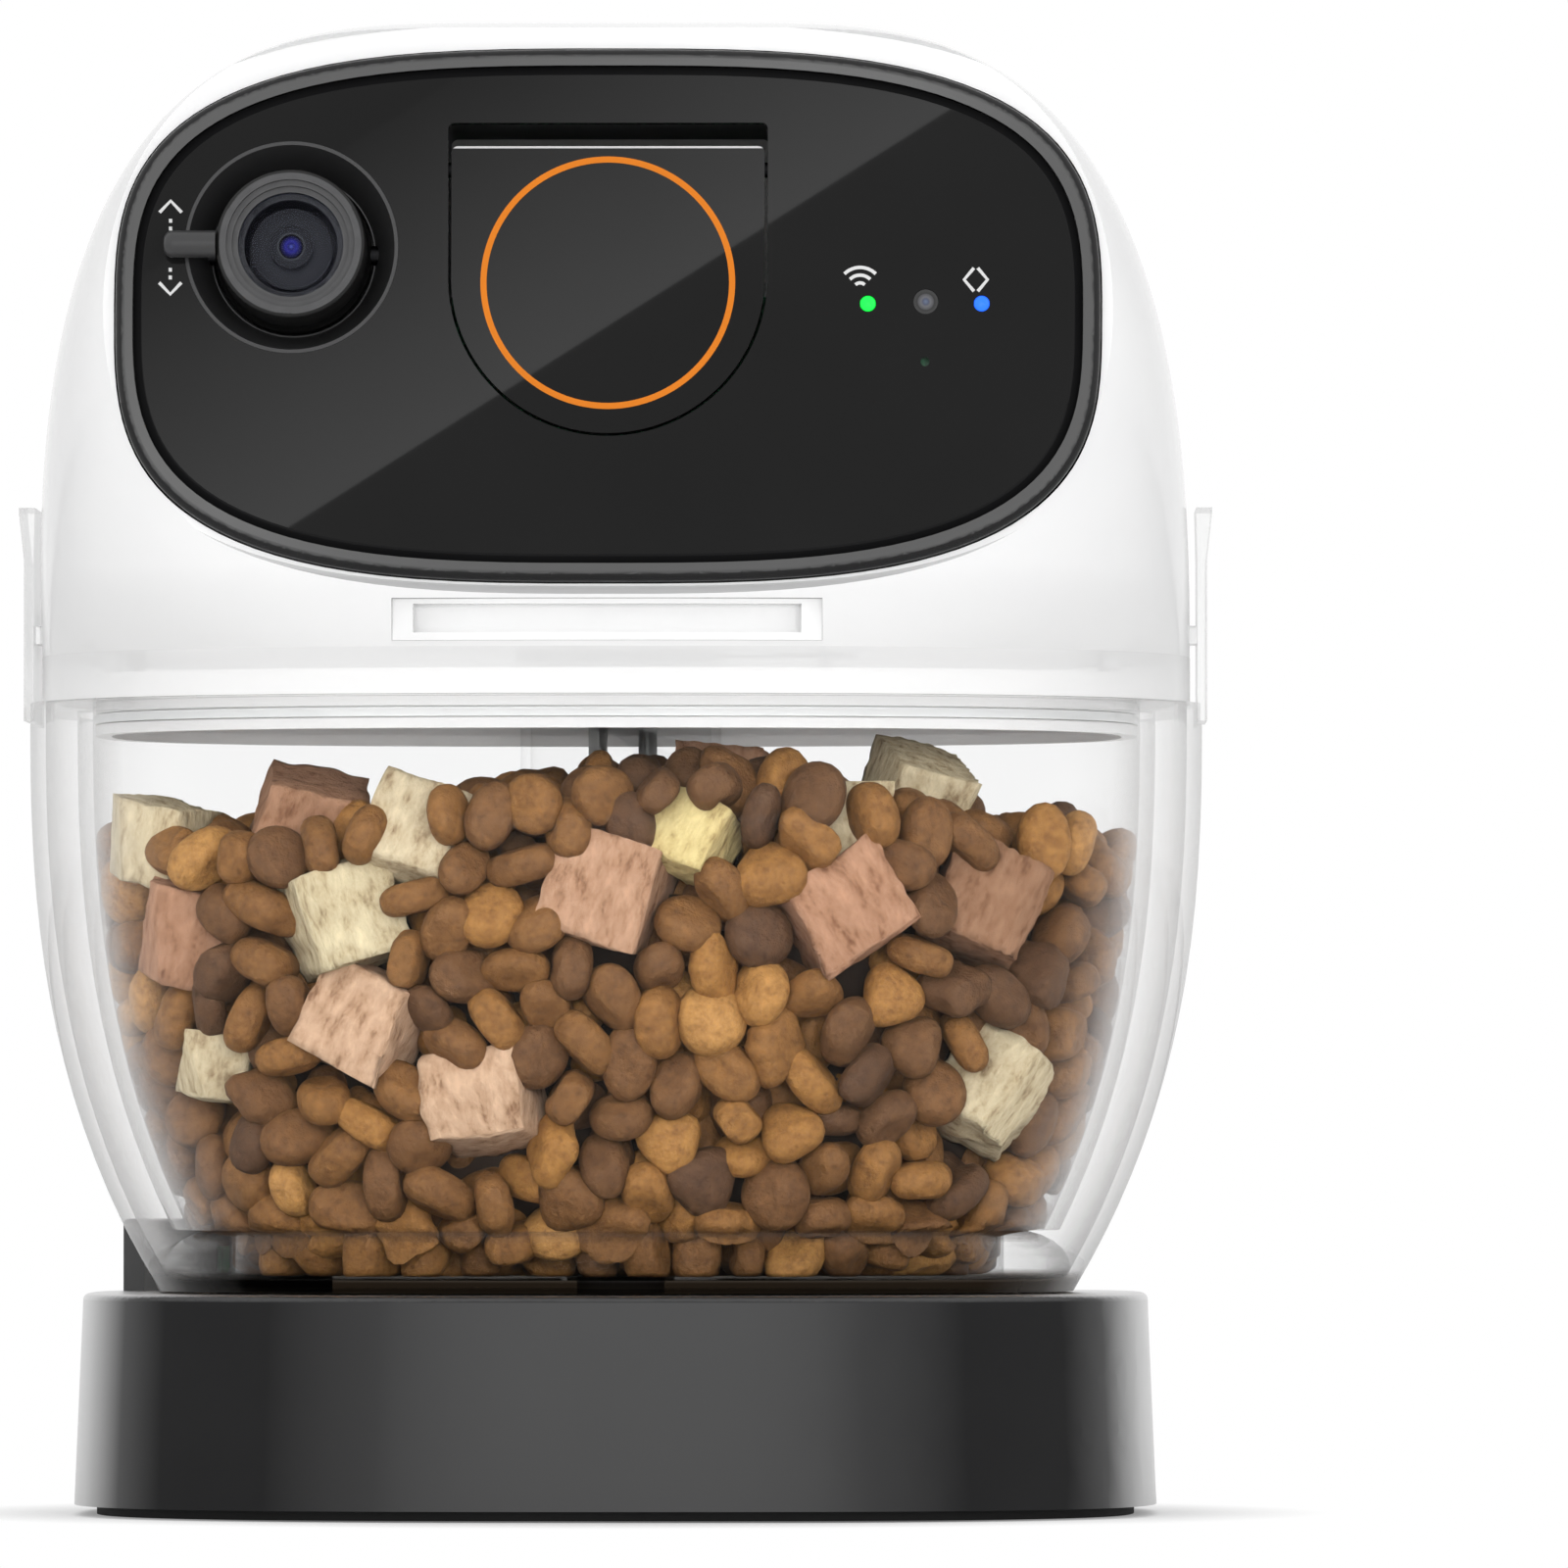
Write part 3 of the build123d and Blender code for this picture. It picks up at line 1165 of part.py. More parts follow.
flap_front = -PANEL_SETBACK - 0.3
flap_back = flap_front - FLAP_THICKNESS
flap_bore = FLAP_PIN_RADIUS + RUNNING_FIT
knuckle_radius = 2.4
knuckle_inner = 8.0
knuckle_outer = FLAP_RADIUS - 0.6
ring_v = FLAP_V - 0.8
duct_wall = 1.8
duct_back = -18.0
duct_outer = FLAP_RADIUS + FLAP_GAP + duct_wall

with BuildPart() as flap:
    extrude(flap_shape(flap_back, 0, FLAP_TOP_V), amount=FLAP_THICKNESS)
    for start in (-knuckle_outer, knuckle_inner):
        extrude(
            rod_on_face(start, FLAP_PIVOT_V, -FLAP_PIVOT_DEPTH, knuckle_radius),
            amount=knuckle_outer - knuckle_inner,
        )
    # groove for the ring
    with BuildSketch(on_face(0, ring_v, flap_front - 0.4)):
        Circle(RING_RADIUS)
        Circle(RING_RADIUS - RING_WIDTH, mode=Mode.SUBTRACT)
    extrude(amount=1, mode=Mode.SUBTRACT)
    # room for the spring between the knuckles
    with BuildSketch(on_face(0, FLAP_PIVOT_V - 0.2, flap_back)):
        Rectangle(2 * knuckle_inner, 6.0)
    extrude(amount=FLAP_THICKNESS - 0.9, mode=Mode.SUBTRACT)
    extrude(rod_on_face(-30, FLAP_PIVOT_V, -FLAP_PIVOT_DEPTH, flap_bore), amount=60, mode=Mode.SUBTRACT)
flap.part.label = "flap"
export_step(flap.part, "parts/flap.step")

with BuildPart() as flap_ring:
    with BuildSketch(on_face(0, ring_v, flap_front - 0.4)):
        Circle(RING_RADIUS)
        Circle(RING_RADIUS - RING_WIDTH, mode=Mode.SUBTRACT)
    extrude(amount=0.5)
flap_ring.part.label = "flap_ring"
export_step(flap_ring.part, "parts/flap_ring.step")

with BuildPart() as launch_duct:
    duct_front = panel_back - 0.05
    extrude(
        flap_shape(duct_back, FLAP_GAP + duct_wall, OPENING_TOP_V + duct_wall, corner=2.5),
        amount=duct_front - duct_back,
    )
    extrude(flap_shape(duct_front - 2, FLAP_GAP + 5, OPENING_TOP_V + 5, corner=4), amount=2)
    extrude(flap_shape(duct_back - 1, FLAP_GAP, OPENING_TOP_V), amount=30, mode=Mode.SUBTRACT)
    extrude(
        rod_on_face(-30, FLAP_PIVOT_V, -FLAP_PIVOT_DEPTH, FLAP_PIN_RADIUS), amount=60, mode=Mode.SUBTRACT
    )
launch_duct.part.label = "launch_duct"
export_step(launch_duct.part, "parts/launch_duct.step")

with BuildPart() as flap_pin:
    extrude(
        rod_on_face(-duct_outer, FLAP_PIVOT_V, -FLAP_PIVOT_DEPTH, FLAP_PIN_RADIUS), amount=2 * duct_outer
    )
flap_pin.part.label = "flap_pin"
export_step(flap_pin.part, "parts/flap_pin.step")


def coil_spring(start, axis_place, radius, pitch, length, wire, leg):
    """A torsion spring along X, with a straight leg at its far end."""
    with BuildPart() as spring:
        with BuildLine() as coil:
            Helix(pitch, length, radius, center=(start, axis_place.Y, axis_place.Z), direction=(1, 0, 0))
        with BuildSketch(Plane(coil.line @ 0, z_dir=coil.line % 0)):
            Circle(wire)
        sweep(is_frenet=True)
        with BuildSketch(Plane(coil.line @ 1, z_dir=coil.line % 1)):
            Circle(wire)
        extrude(amount=leg)
    return spring.part


flap_axis = face_plane.from_local_coords((0, FLAP_PIVOT_V, -FLAP_PIVOT_DEPTH))
flap_spring_part = coil_spring(-6.0, flap_axis, 1.9, 1.3, 11.7, 0.35, 0.6)
flap_spring_part.label = "flap_spring"
export_step(flap_spring_part, "parts/flap_spring.step")

# ---------------------------------------------------------------- launcher

frame_inner = 13.0
frame_outer = 15.0
frame_front = -40.0
frame_back = 13.0
bracket_x = 26.0
bracket_end_x = 28.0
gear_distance = GEAR_MODULE * (THROW_GEAR_TEETH + THROW_PINION_TEETH) / 2
mesh_angle = math.pi / 4
motor_y = ARM_Y + gear_distance * math.cos(mesh_angle)
motor_z = ARM_Z + gear_distance * math.sin(mesh_angle)
motor_screw_places = [(motor_y - 6, motor_z), (motor_y + 6, motor_z)]
bush_radius = 4.0
bush_spans = [(-frame_outer, 2), (frame_inner, 2), (bracket_x, 2)]


def rod_disc(x, y, z, radius):
    """A circle at x, whose axis runs along X."""
    with BuildSketch(rod_plane(x, y, z)) as disc:
        Circle(radius)
    return disc.sketch


with BuildPart() as throw_frame:
    with BuildSketch(level(FLOOR_TOP_Z)):
        with Locations((0, (frame_front + frame_back) / 2)):
            Rectangle(2 * frame_outer, frame_back - frame_front)
        with Locations(((frame_outer + 38) / 2 - 0.5, -22)):
            Rectangle(38 - frame_outer + 1, 28)
    extrude(amount=FRAME_FLOOR)
    for x in (-frame_outer, frame_inner):
        with BuildSketch(rod_plane(x, 0, 0)):
            with BuildLine():
                Polyline(
                    (frame_front, FLOOR_TOP_Z),
                    (frame_back, FLOOR_TOP_Z),
                    (frame_back, FRAME_TOP_Z),
                    (2, FRAME_TOP_Z),
                    (-14, FRAME_FRONT_TOP_Z),
                    (frame_front, FRAME_FRONT_TOP_Z),
                    close=True,
                )
            make_face()
        extrude(amount=frame_outer - frame_inner)
    # room for the gear
    with Locations((THROW_GEAR_X + 2.5, ARM_Y, FLOOR_TOP_Z)):
        Box(6.5, 13, 8, mode=Mode.SUBTRACT)
    # motor plate
    with BuildSketch(rod_plane(bracket_x, -22, (FLOOR_TOP_Z + MOTOR_PLATE_TOP_Z) / 2)):
        Rectangle(28, MOTOR_PLATE_TOP_Z - FLOOR_TOP_Z)
    extrude(amount=bracket_end_x - bracket_x)
    with BuildSketch(rod_plane(-20, ARM_Y, ARM_Z)):
        Circle(bush_radius)
    extrude(amount=60, mode=Mode.SUBTRACT)
    with BuildSketch(rod_plane(20, motor_y, motor_z)):
        Circle(3.15)
    extrude(amount=12, mode=Mode.SUBTRACT)
    with BuildSketch(rod_plane(20, 0, 0)):
        with Locations(*motor_screw_places):
            Circle(1.0)
    extrude(amount=12, mode=Mode.SUBTRACT)
    with BuildSketch(level(FLOOR_TOP_Z)):
        with Locations(*frame_screw_places):
            Circle(1.0)
    extrude(amount=2, mode=Mode.SUBTRACT)
throw_frame.part.label = "throw_frame"
export_step(throw_frame.part, "parts/throw_frame.step")

with BuildPart() as throw_arm:
    with BuildSketch(rod_plane(-12, ARM_Y, ARM_Z)):
        Circle(5.0)
    extrude(amount=24)
    with Locations((0, ARM_Y + (CUP_NEAR + 4.6) / 2, ARM_Z)):
        Box(10, CUP_NEAR - 2.6, 4)
    cup_length = CUP_FAR - CUP_NEAR
    cup_middle = ARM_Y + (CUP_NEAR + CUP_FAR) / 2
    with BuildSketch(level(ARM_Z)):
        with Locations((0, cup_middle)):
            RectangleRounded(2 * CUP_HALF_WIDTH, cup_length, 3)
    extrude(amount=7)
    with BuildSketch(level(ARM_Z + 1.6)):
        with Locations((0, cup_middle)):
            RectangleRounded(2 * CUP_HALF_WIDTH - 2.8, cup_length - 2.8, 1.6)
    extrude(amount=7, mode=Mode.SUBTRACT)
    with BuildSketch(rod_plane(-14, ARM_Y, ARM_Z)):
        Circle(THROW_SHAFT_RADIUS)
    extrude(amount=28, mode=Mode.SUBTRACT)
throw_arm.part.label = "throw_arm"
export_step(throw_arm.part, "parts/throw_arm.step")

with BuildPart() as throw_shaft:
    extrude(rod_disc(-27, ARM_Y, ARM_Z, THROW_SHAFT_RADIUS), amount=56.5)
    extrude(rod_disc(-27, ARM_Y, ARM_Z, 5.0), amount=1.5)
throw_shaft.part.label = "throw_shaft"
export_step(throw_shaft.part, "parts/throw_shaft.step")

with BuildPart() as throw_bushes:
    for x, length in bush_spans:
        with BuildSketch(rod_plane(x, ARM_Y, ARM_Z)):
            Circle(bush_radius)
            Circle(THROW_SHAFT_RADIUS + RUNNING_FIT, mode=Mode.SUBTRACT)
        extrude(amount=length)
throw_bushes.part.label = "throw_bushes"
export_step(throw_bushes.part, "parts/throw_bushes.step")

with BuildPart() as throw_gear:
    gear_plane = rod_plane(THROW_GEAR_X, ARM_Y, ARM_Z)
    extrude(gear_outline(gear_plane, THROW_GEAR_TEETH, turned=mesh_angle), amount=5)
    with BuildSketch(rod_plane(THROW_GEAR_X - 1, ARM_Y, ARM_Z)):
        Circle(THROW_SHAFT_RADIUS)
    extrude(amount=7, mode=Mode.SUBTRACT)
throw_gear.part.label = "throw_gear"
export_step(throw_gear.part, "parts/throw_gear.step")

with BuildPart() as throw_pinion:
    gap_facing = mesh_angle + math.pi + math.pi / THROW_PINION_TEETH
    pinion_plane = rod_plane(THROW_GEAR_X - 0.5, motor_y, motor_z)
    extrude(gear_outline(pinion_plane, THROW_PINION_TEETH, turned=gap_facing), amount=5.5)
    extrude(rod_disc(24, motor_y, motor_z, 1.5), amount=16)
throw_pinion.part.label = "throw_pinion"
export_step(throw_pinion.part, "parts/throw_pinion.step")

with BuildPart() as throw_motor:
    extrude(rod_disc(bracket_end_x, motor_y, motor_z, 9.0), amount=30)
    fillet(throw_motor.faces().sort_by(Axis.X)[-1].edges(), radius=1.0)
    extrude(rod_disc(bracket_x + 0.2, motor_y, motor_z, 3.1), amount=2)
    with BuildSketch(rod_plane(bracket_x, motor_y, motor_z)):
        Circle(1.5 + RUNNING_FIT)
    extrude(amount=16, mode=Mode.SUBTRACT)
    with BuildSketch(rod_plane(bracket_end_x, 0, 0)):
        with Locations(*motor_screw_places):
            Circle(1.0)
    extrude(amount=3, mode=Mode.SUBTRACT)
throw_motor.part.label = "throw_motor"
export_step(throw_motor.part, "parts/throw_motor.step")

throw_spring_part = coil_spring(-24.4, Vector(0, ARM_Y, ARM_Z), 4.2, 1.6, 7.2, 0.55, 7)
throw_spring_part.label = "throw_spring"
export_step(throw_spring_part, "parts/throw_spring.step")

# Small screws: launcher frame, motor and button board
with BuildPart() as inner_screws:
    with Locations(*[(x, y, FLOOR_TOP_Z + FRAME_FLOOR) for x, y in frame_screw_places]):
        Cylinder(SMALL_SCREW_HEAD_RADIUS, SMALL_SCREW_HEAD, align=on_top)
        Cylinder(SMALL_SCREW_RADIUS, 4, align=below)
    for y, z in motor_screw_places:
        extrude(rod_disc(bracket_x - 1, y, z, 1.6), amount=1)
        extrude(rod_disc(bracket_x, y, z, 1.0), amount=4.5)
    with Locations(*[(x, y, BUTTON_BOARD_Z) for x, y in button_posts]):
        Cylinder(SMALL_SCREW_HEAD_RADIUS, SMALL_SCREW_HEAD, align=below)
        Cylinder(SMALL_SCREW_RADIUS, 5, align=on_top)
inner_screws.part.label = "inner_screws"
export_step(inner_screws.part, "parts/inner_screws.step")

# ---------------------------------------------------------------- boards, speaker and button

finger_tip_y = SCREW_Y + TUBE_INNER_RADIUS + TUBE_WALL + CONTACT_THICKNESS - 0.1

with BuildPart() as main_board:
    with Locations((0, BOARD_Y + BOARD_THICKNESS / 2, (BOARD_BOTTOM_Z + BOARD_TOP_Z) / 2)):
        Box(2 * BOARD_HALF_WIDTH, BOARD_THICKNESS, BOARD_TOP_Z - BOARD_BOTTOM_Z)
    # chips, radio can and connector, on the back
    with Locations((-18, BOARD_Y + 2.3, 180), (-18, BOARD_Y + 2.3, 158), (6, BOARD_Y + 2.3, 184)):
        Box(14, 1.8, 12)
    # sprung fingers that touch the contact strips
    for x in (-CONTACT_X, CONTACT_X):
        with Locations((x, (BOARD_Y + finger_tip_y) / 2, 150)):
            Box(1.6, BOARD_Y - finger_tip_y + 0.2, 2.4)
main_board.part.label = "main_board"
export_step(main_board.part, "parts/main_board.step")

with BuildPart() as speaker:
    with BuildSketch(cross_plane(SPEAKER_X, SPEAKER_Y, SPEAKER_Z)):
        Circle(SPEAKER_RADIUS)
    extrude(amount=6)
    with BuildSketch(cross_plane(SPEAKER_X, SPEAKER_Y - 3, SPEAKER_Z)):
        Circle(7)
    extrude(amount=3)
speaker.part.label = "speaker"
export_step(speaker.part, "parts/speaker.step")

with BuildPart() as top_button:
    with BuildSketch(level(BUTTON_FLANGE_Z)):
        with Locations((0, BUTTON_Y)):
            RectangleRounded(BUTTON_WIDTH, BUTTON_DEPTH, BUTTON_CORNER)
    extrude(amount=HEAD_CROWN_Z - BUTTON_FLANGE_Z)
    fillet(top_button.faces().sort_by(Axis.Z)[-1].edges(), radius=0.5)
    with BuildSketch(level(BUTTON_FLANGE_Z)):
        with Locations((0, BUTTON_Y)):
            RectangleRounded(BUTTON_WIDTH + 3, BUTTON_DEPTH + 2.6, BUTTON_CORNER)
    extrude(amount=1)
    with BuildSketch(level(BUTTON_FLANGE_Z - 1.2)):
        with Locations((0, BUTTON_Y)):
            Circle(2.5)
    extrude(amount=1.4)
top_button.part.label = "top_button"
export_step(top_button.part, "parts/top_button.step")

with BuildPart() as button_board:
    with BuildSketch(level(BUTTON_BOARD_Z)):
        with Locations((0, BUTTON_Y)):
            Rectangle(2 * BUTTON_POST_X + 8, 14)
        with Locations(*button_posts):
            Circle(SMALL_SCREW_RADIUS, mode=Mode.SUBTRACT)
    extrude(amount=BOARD_THICKNESS)
    with Locations((0, BUTTON_Y, BUTTON_BOARD_Z + BOARD_THICKNESS + 1.7)):
        Box(6, 6, 3.4)
    with Locations((0, BUTTON_Y, BUTTON_BOARD_Z + 5.4)):
        Cylinder(1.7, 0.8)
button_board.part.label = "button_board"
export_step(button_board.part, "parts/button_board.step")
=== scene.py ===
"""Looks of the treat tossing pet camera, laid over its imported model."""

import math

import bpy
import numpy as np
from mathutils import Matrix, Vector


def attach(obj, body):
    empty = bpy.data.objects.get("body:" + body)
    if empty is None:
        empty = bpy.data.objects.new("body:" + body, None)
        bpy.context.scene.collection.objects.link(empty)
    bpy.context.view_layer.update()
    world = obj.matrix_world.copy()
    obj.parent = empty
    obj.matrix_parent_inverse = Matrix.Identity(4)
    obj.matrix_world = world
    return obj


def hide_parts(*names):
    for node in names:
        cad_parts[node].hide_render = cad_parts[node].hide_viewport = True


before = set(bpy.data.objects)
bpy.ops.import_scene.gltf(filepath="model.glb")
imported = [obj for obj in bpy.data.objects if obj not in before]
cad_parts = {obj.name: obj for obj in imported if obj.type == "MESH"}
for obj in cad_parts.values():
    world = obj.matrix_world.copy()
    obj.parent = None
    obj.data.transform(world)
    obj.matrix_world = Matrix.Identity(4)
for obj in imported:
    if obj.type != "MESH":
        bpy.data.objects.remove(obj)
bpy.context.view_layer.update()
scene = bpy.context.scene
MM = 0.001

# ---------------------------------------------------------------- measures, in metres

# Camera, as the photograph was taken
IMAGE_WIDTH = 1600
CAMERA_DISTANCE = 2.65
EYE_HEIGHT = 0.059
CAMERA_TURN = math.radians(1.2)
PIXELS_PER_MM = 6.47
EYE_LEVEL_PIXEL = 1160
AXIS_PIXEL = 629.5
SENSOR_MM = 36.0

# Face: its middle and its lean back
FACE_CENTRE = Vector((0, -0.069, 0.1862))
FACE_LEAN = math.radians(5)
FACE_RIGHT = Vector((1, 0, 0))
FACE_UP = Vector((0, math.sin(FACE_LEAN), math.cos(FACE_LEAN)))
FACE_OUT = Vector((0, -math.cos(FACE_LEAN), math.sin(FACE_LEAN)))
PANEL_FRONT = -0.0003
CAMERA_U = -0.0487
CAMERA_V = 0.0097
SENSOR_PLACE = (0.0489, 0.0012)
FLAP_TOP_V = 0.0254

# Bowl
RIM_HEIGHT = 0.127
RIM_HALF_WIDTH = 0.0923
RIM_HALF_DEPTH = 0.0757
BOWL_BOTTOM = 0.0348
BOWL_TUCK = 0.0203
BOWL_TUCK_POWER = 2.7
PLAN_POWER = 2.5
FILL_INSET = 0.0099
SEAT_TOP = 0.0444
SEAT_HALF_WIDTH = 0.0605
SEAT_DEPTH_SHARE = 0.82
FILL_BOTTOM = 0.0371
TUBE_CENTRE = (0.0, 0.030)
TUBE_RADIUS = 0.0166

# Head: its clear collar turns solid between these heights
COLLAR_CLEAR_BELOW = 0.136
COLLAR_SOLID_ABOVE = 0.147

# Treats
HEAP_LEVEL = 0.1065
KIBBLE_COUNT = 1480
KIBBLE_LAYER = 0.0185
KIBBLE_LAYER_SHARE = KIBBLE_LAYER / 0.072
KIBBLE_GROUPS = 8
KIBBLE_GRID = 6
KIBBLE_RADII = (0.0041, 0.0048)
KIBBLE_TINT = (0.41, 0.25)
KIBBLE_KINDS = {"oval": 0.5, "round": 0.22, "heart": 0.16, "cross": 0.06, "bone": 0.06}
MEAT_GRID = 18
MEAT_SPACING = 1.12
SETTLE_SHARE = 0.32
SETTLE_SINK = 0.00006
CORE_LIFT = 0.006
CORE_TOP = 0.0965
CORE_INSET = 0.0125

# Print on the face
PRINT_THICKNESS = 0.00006
PRINT_WIDTH = 0.00052

# Light from all round, and the lamps: name, place, height aimed at, size, power in watts
WORLD_LIGHT = 0.52
LAMPS = [
    ("key", (-1.1, -1.7, 1.5), 0.12, (1.4, 1.4), 10.0),
    ("fill", (1.5, -1.3, 0.9), 0.12, (1.2, 1.6), 5.5),
    ("top", (0.0, 0.1, 1.7), 0.1, (1.6, 1.2), 3.5),
    ("back", (0.0, 1.8, 0.8), 0.12, (2.2, 1.2), 8.0),
    ("front", (0.15, -2.3, 0.3), 0.12, (1.6, 0.6), 18.0),
]

# Glare on the panel: two points of its lower edge, how far it reaches above, and its card
GLARE_LOW = (-0.0549, -0.0375)
GLARE_HIGH = (0.0536, 0.0317)
GLARE_REACH = 0.045
GLARE_STRENGTH = 4.5
GLARE_DISTANCE = 0.8


# ---------------------------------------------------------------- material helpers


class Nodes:
    """A small wrapper that keeps node graphs short to write."""

    def __init__(self, name):
        self.material = bpy.data.materials.new(name)
        self.material.use_nodes = True
        self.tree = self.material.node_tree
        self.tree.nodes.clear()
        self.output = self.tree.nodes.new("ShaderNodeOutputMaterial")

    def add(self, kind, **values):
        """Adds a node; a value is an attribute, or the default of the socket with that name."""
        node = self.tree.nodes.new("ShaderNode" + kind)
        for key, value in values.items():
            socket = key.replace("_", " ")
            match = next((s for s in node.inputs if s.name.lower() == socket.lower()), None)
            if match is None:
                setattr(node, key, value)
            elif isinstance(value, bpy.types.NodeSocket):
                self.tree.links.new(value, match)
            else:
                match.default_value = value
        return node

    def link(self, source, target):
        self.tree.links.new(source, target)

    def give(self, value, socket):
        """Feeds a socket from another socket, or sets it to a number."""
        if isinstance(value, bpy.types.NodeSocket):
            self.link(value, socket)
        else:
            socket.default_value = value

    def finish(self, shader):
        self.link(shader, self.output.inputs["Surface"])
        return self.material

    def place(self):
        """Coordinates in the row frame, which every piece shares."""
        return self.add("TexCoord").outputs["Object"]

    def noise(self, scale, detail=3.0, roughness=0.5, vector=None):
        node = self.add("TexNoise", Scale=scale, Detail=detail, Roughness=roughness)
        self.link(vector or self.place(), node.inputs["Vector"])
        return node.outputs["Fac"]

    def ramp(self, value, stops):
        """A colour ramp; stops are (position, colour) pairs."""
        node = self.add("ValToRGB")
        self.link(value, node.inputs["Fac"])
        elements = node.color_ramp.elements
        while len(elements) < len(stops):
            elements.new(0.5)
        for element, (position, colour) in zip(elements, stops):
            element.position = position
            element.color = (*colour, 1.0)
        return node.outputs["Color"]

    def between(self, value, low, high, start=0.0, end=1.0):
        """Maps value from start..end to low..high."""
        node = self.add("MapRange")
        self.link(value, node.inputs["Value"])
        node.inputs["From Min"].default_value = start
        node.inputs["From Max"].default_value = end
        node.inputs["To Min"].default_value = low
        node.inputs["To Max"].default_value = high
        return node.outputs["Result"]

    def bump(self, height, strength, distance, normal=None):
        node = self.add("Bump", Strength=strength, Distance=distance)
        self.link(height, node.inputs["Height"])
        if normal:
            self.link(normal, node.inputs["Normal"])
        return node.outputs["Normal"]

    def mix(self, share, first, second):
        node = self.add("MixShader")
        self.give(share, node.inputs[0])
        self.link(first, node.inputs[1])
        self.link(second, node.inputs[2])
        return node.outputs[0]

    def blend(self, share, first, second, kind="MIX"):
        """Blends two colours; each value is a socket or a constant."""
        node = self.add("Mix", data_type="RGBA", blend_type=kind)
        for index, value in ((0, share), (6, first), (7, second)):
            self.give(value, node.inputs[index])
        return node.outputs[2]

    def dot(self, vector, axis):
        node = self.add("VectorMath", operation="DOT_PRODUCT")
        self.link(vector, node.inputs[0])
        node.inputs[1].default_value = axis
        return node.outputs["Value"]

    def face_places(self):
        """Places on the face: right, up and out from its middle, in metres."""
        away = self.add("VectorMath", operation="SUBTRACT")
        self.link(self.place(), away.inputs[0])
        away.inputs[1].default_value = FACE_CENTRE
        return [self.dot(away.outputs[0], axis) for axis in (FACE_RIGHT, FACE_UP, FACE_OUT)]

    def flatness(self, low=0.93, high=0.985):
        """1 where the surface faces straight out of the face, 0 on its slanting rims."""
        normal = self.add("TexCoord").outputs["Normal"]
        return self.between(self.dot(normal, FACE_OUT), 0, 1, low, high)

    def math(self, operation, *values):
        """A math node; each value is a socket or a number."""
        node = self.add("Math", operation=operation)
        for socket, value in zip(node.inputs, values):
            self.give(value, socket)
        return node.outputs[0]

    def radius_from(self, centre_u, centre_v):
        """Distance from an axis square to the face."""
        u, v, _out = self.face_places()
        aways = self.math("SUBTRACT", u, centre_u), self.math("SUBTRACT", v, centre_v)
        squares = [self.math("MULTIPLY", away, away) for away in aways]
        return self.math("SQRT", self.math("ADD", *squares))

    def fresnel(self, start, end, power=5.0):
        """A share that grows from start, face on, to end at a glancing view."""
        facing = self.add("LayerWeight", Blend=0.5).outputs["Facing"]
        return self.between(self.math("POWER", facing, power), start, end)

    def see_through(self, tint):
        """Clear passage. Past several walls a refraction of index 1 carries the light on, unbent."""
        through = self.add("BsdfTransparent", Color=(*tint, 1)).outputs["BSDF"]
        straight = self.add("BsdfRefraction", Color=(*tint, 1), Roughness=0.0, IOR=1.0).outputs["BSDF"]
        depth = self.add("LightPath").outputs["Transparent Depth"]
        return self.mix(self.math("GREATER_THAN", depth, 5), through, straight)

    def shadow_free(self, shader, share=1.0):
        """Lets the lamps' light pass, so what is behind a clear wall is lit."""
        clear = self.add("BsdfTransparent", Color=(1, 1, 1, 1)).outputs["BSDF"]
        ray = self.add("LightPath").outputs["Is Shadow Ray"]
        return self.mix(self.math("MULTIPLY", ray, share), shader, clear)


def plastic(name, colour, roughness, spread=0.04, grain=0.0, grain_scale=2500, tint=0.03, **values):
    """Moulded plastic, rubber or metal: slight colour drift, uneven gloss and an optional grain."""
    n = Nodes(name)
    drift = n.noise(60, 4)
    low = [max(c * (1 - tint), 0) for c in colour]
    high = [c * (1 + tint) for c in colour]
    shader = n.add("BsdfPrincipled", **values)
    n.link(n.ramp(drift, [(0.3, low), (0.7, high)]), shader.inputs["Base Color"])
    n.link(n.between(n.noise(180, 5), roughness - spread, roughness + spread), shader.inputs["Roughness"])
    if grain:
        n.link(n.bump(n.noise(grain_scale, 3), grain, 0.00008), shader.inputs["Normal"])
    return n.finish(shader.outputs["BSDF"])


def clear_plastic(name, haze, greys, gloss=(0.002, 0.5), glow=0.0, painted_shade_below=None):
    """Clear moulded wall: see-through face on, milkier aslant, with a thin grey outline that is painted
    shade.

    haze and greys go from face on, through aslant, to the outline. glow is the share of light that
    soaks through the milk. The last argument is a height, and below it the see-through part is tinted darker
    as painted shade.
    """
    n = Nodes(name)
    facing = n.add("LayerWeight", Blend=0.5).outputs["Facing"]
    passing = n.see_through((0.99, 0.99, 0.99))
    if painted_shade_below:
        # below this height a darker tint is painted in as shade
        level, tint = painted_shade_below
        height = n.add("SeparateXYZ")
        n.link(n.place(), height.inputs[0])
        clear = n.between(height.outputs["Z"], 0, 1, level - 0.0008, level + 0.0008)
        passing = n.mix(clear, n.see_through(tint), passing)
    # the milk greys darken towards the outline: painted shade along the silhouette
    milk_colour = n.ramp(facing, [(place, (grey,) * 3) for place, grey in zip((0.3, 0.75, 0.96), greys)])
    milk = n.mix(glow, n.add("BsdfDiffuse", Color=milk_colour).outputs["BSDF"],
                 n.add("BsdfTranslucent", Color=milk_colour).outputs["BSDF"])
    share = n.ramp(facing, [(place, (amount,) * 3) for place, amount in zip((0.38, 0.64, 0.95), haze)])
    body = n.mix(share, passing, milk)
    glossy = n.add("BsdfGlossy", Color=(1, 1, 1, 1), Roughness=0.03).outputs["BSDF"]
    return n.finish(n.shadow_free(n.mix(n.fresnel(*gloss), body, glossy)))


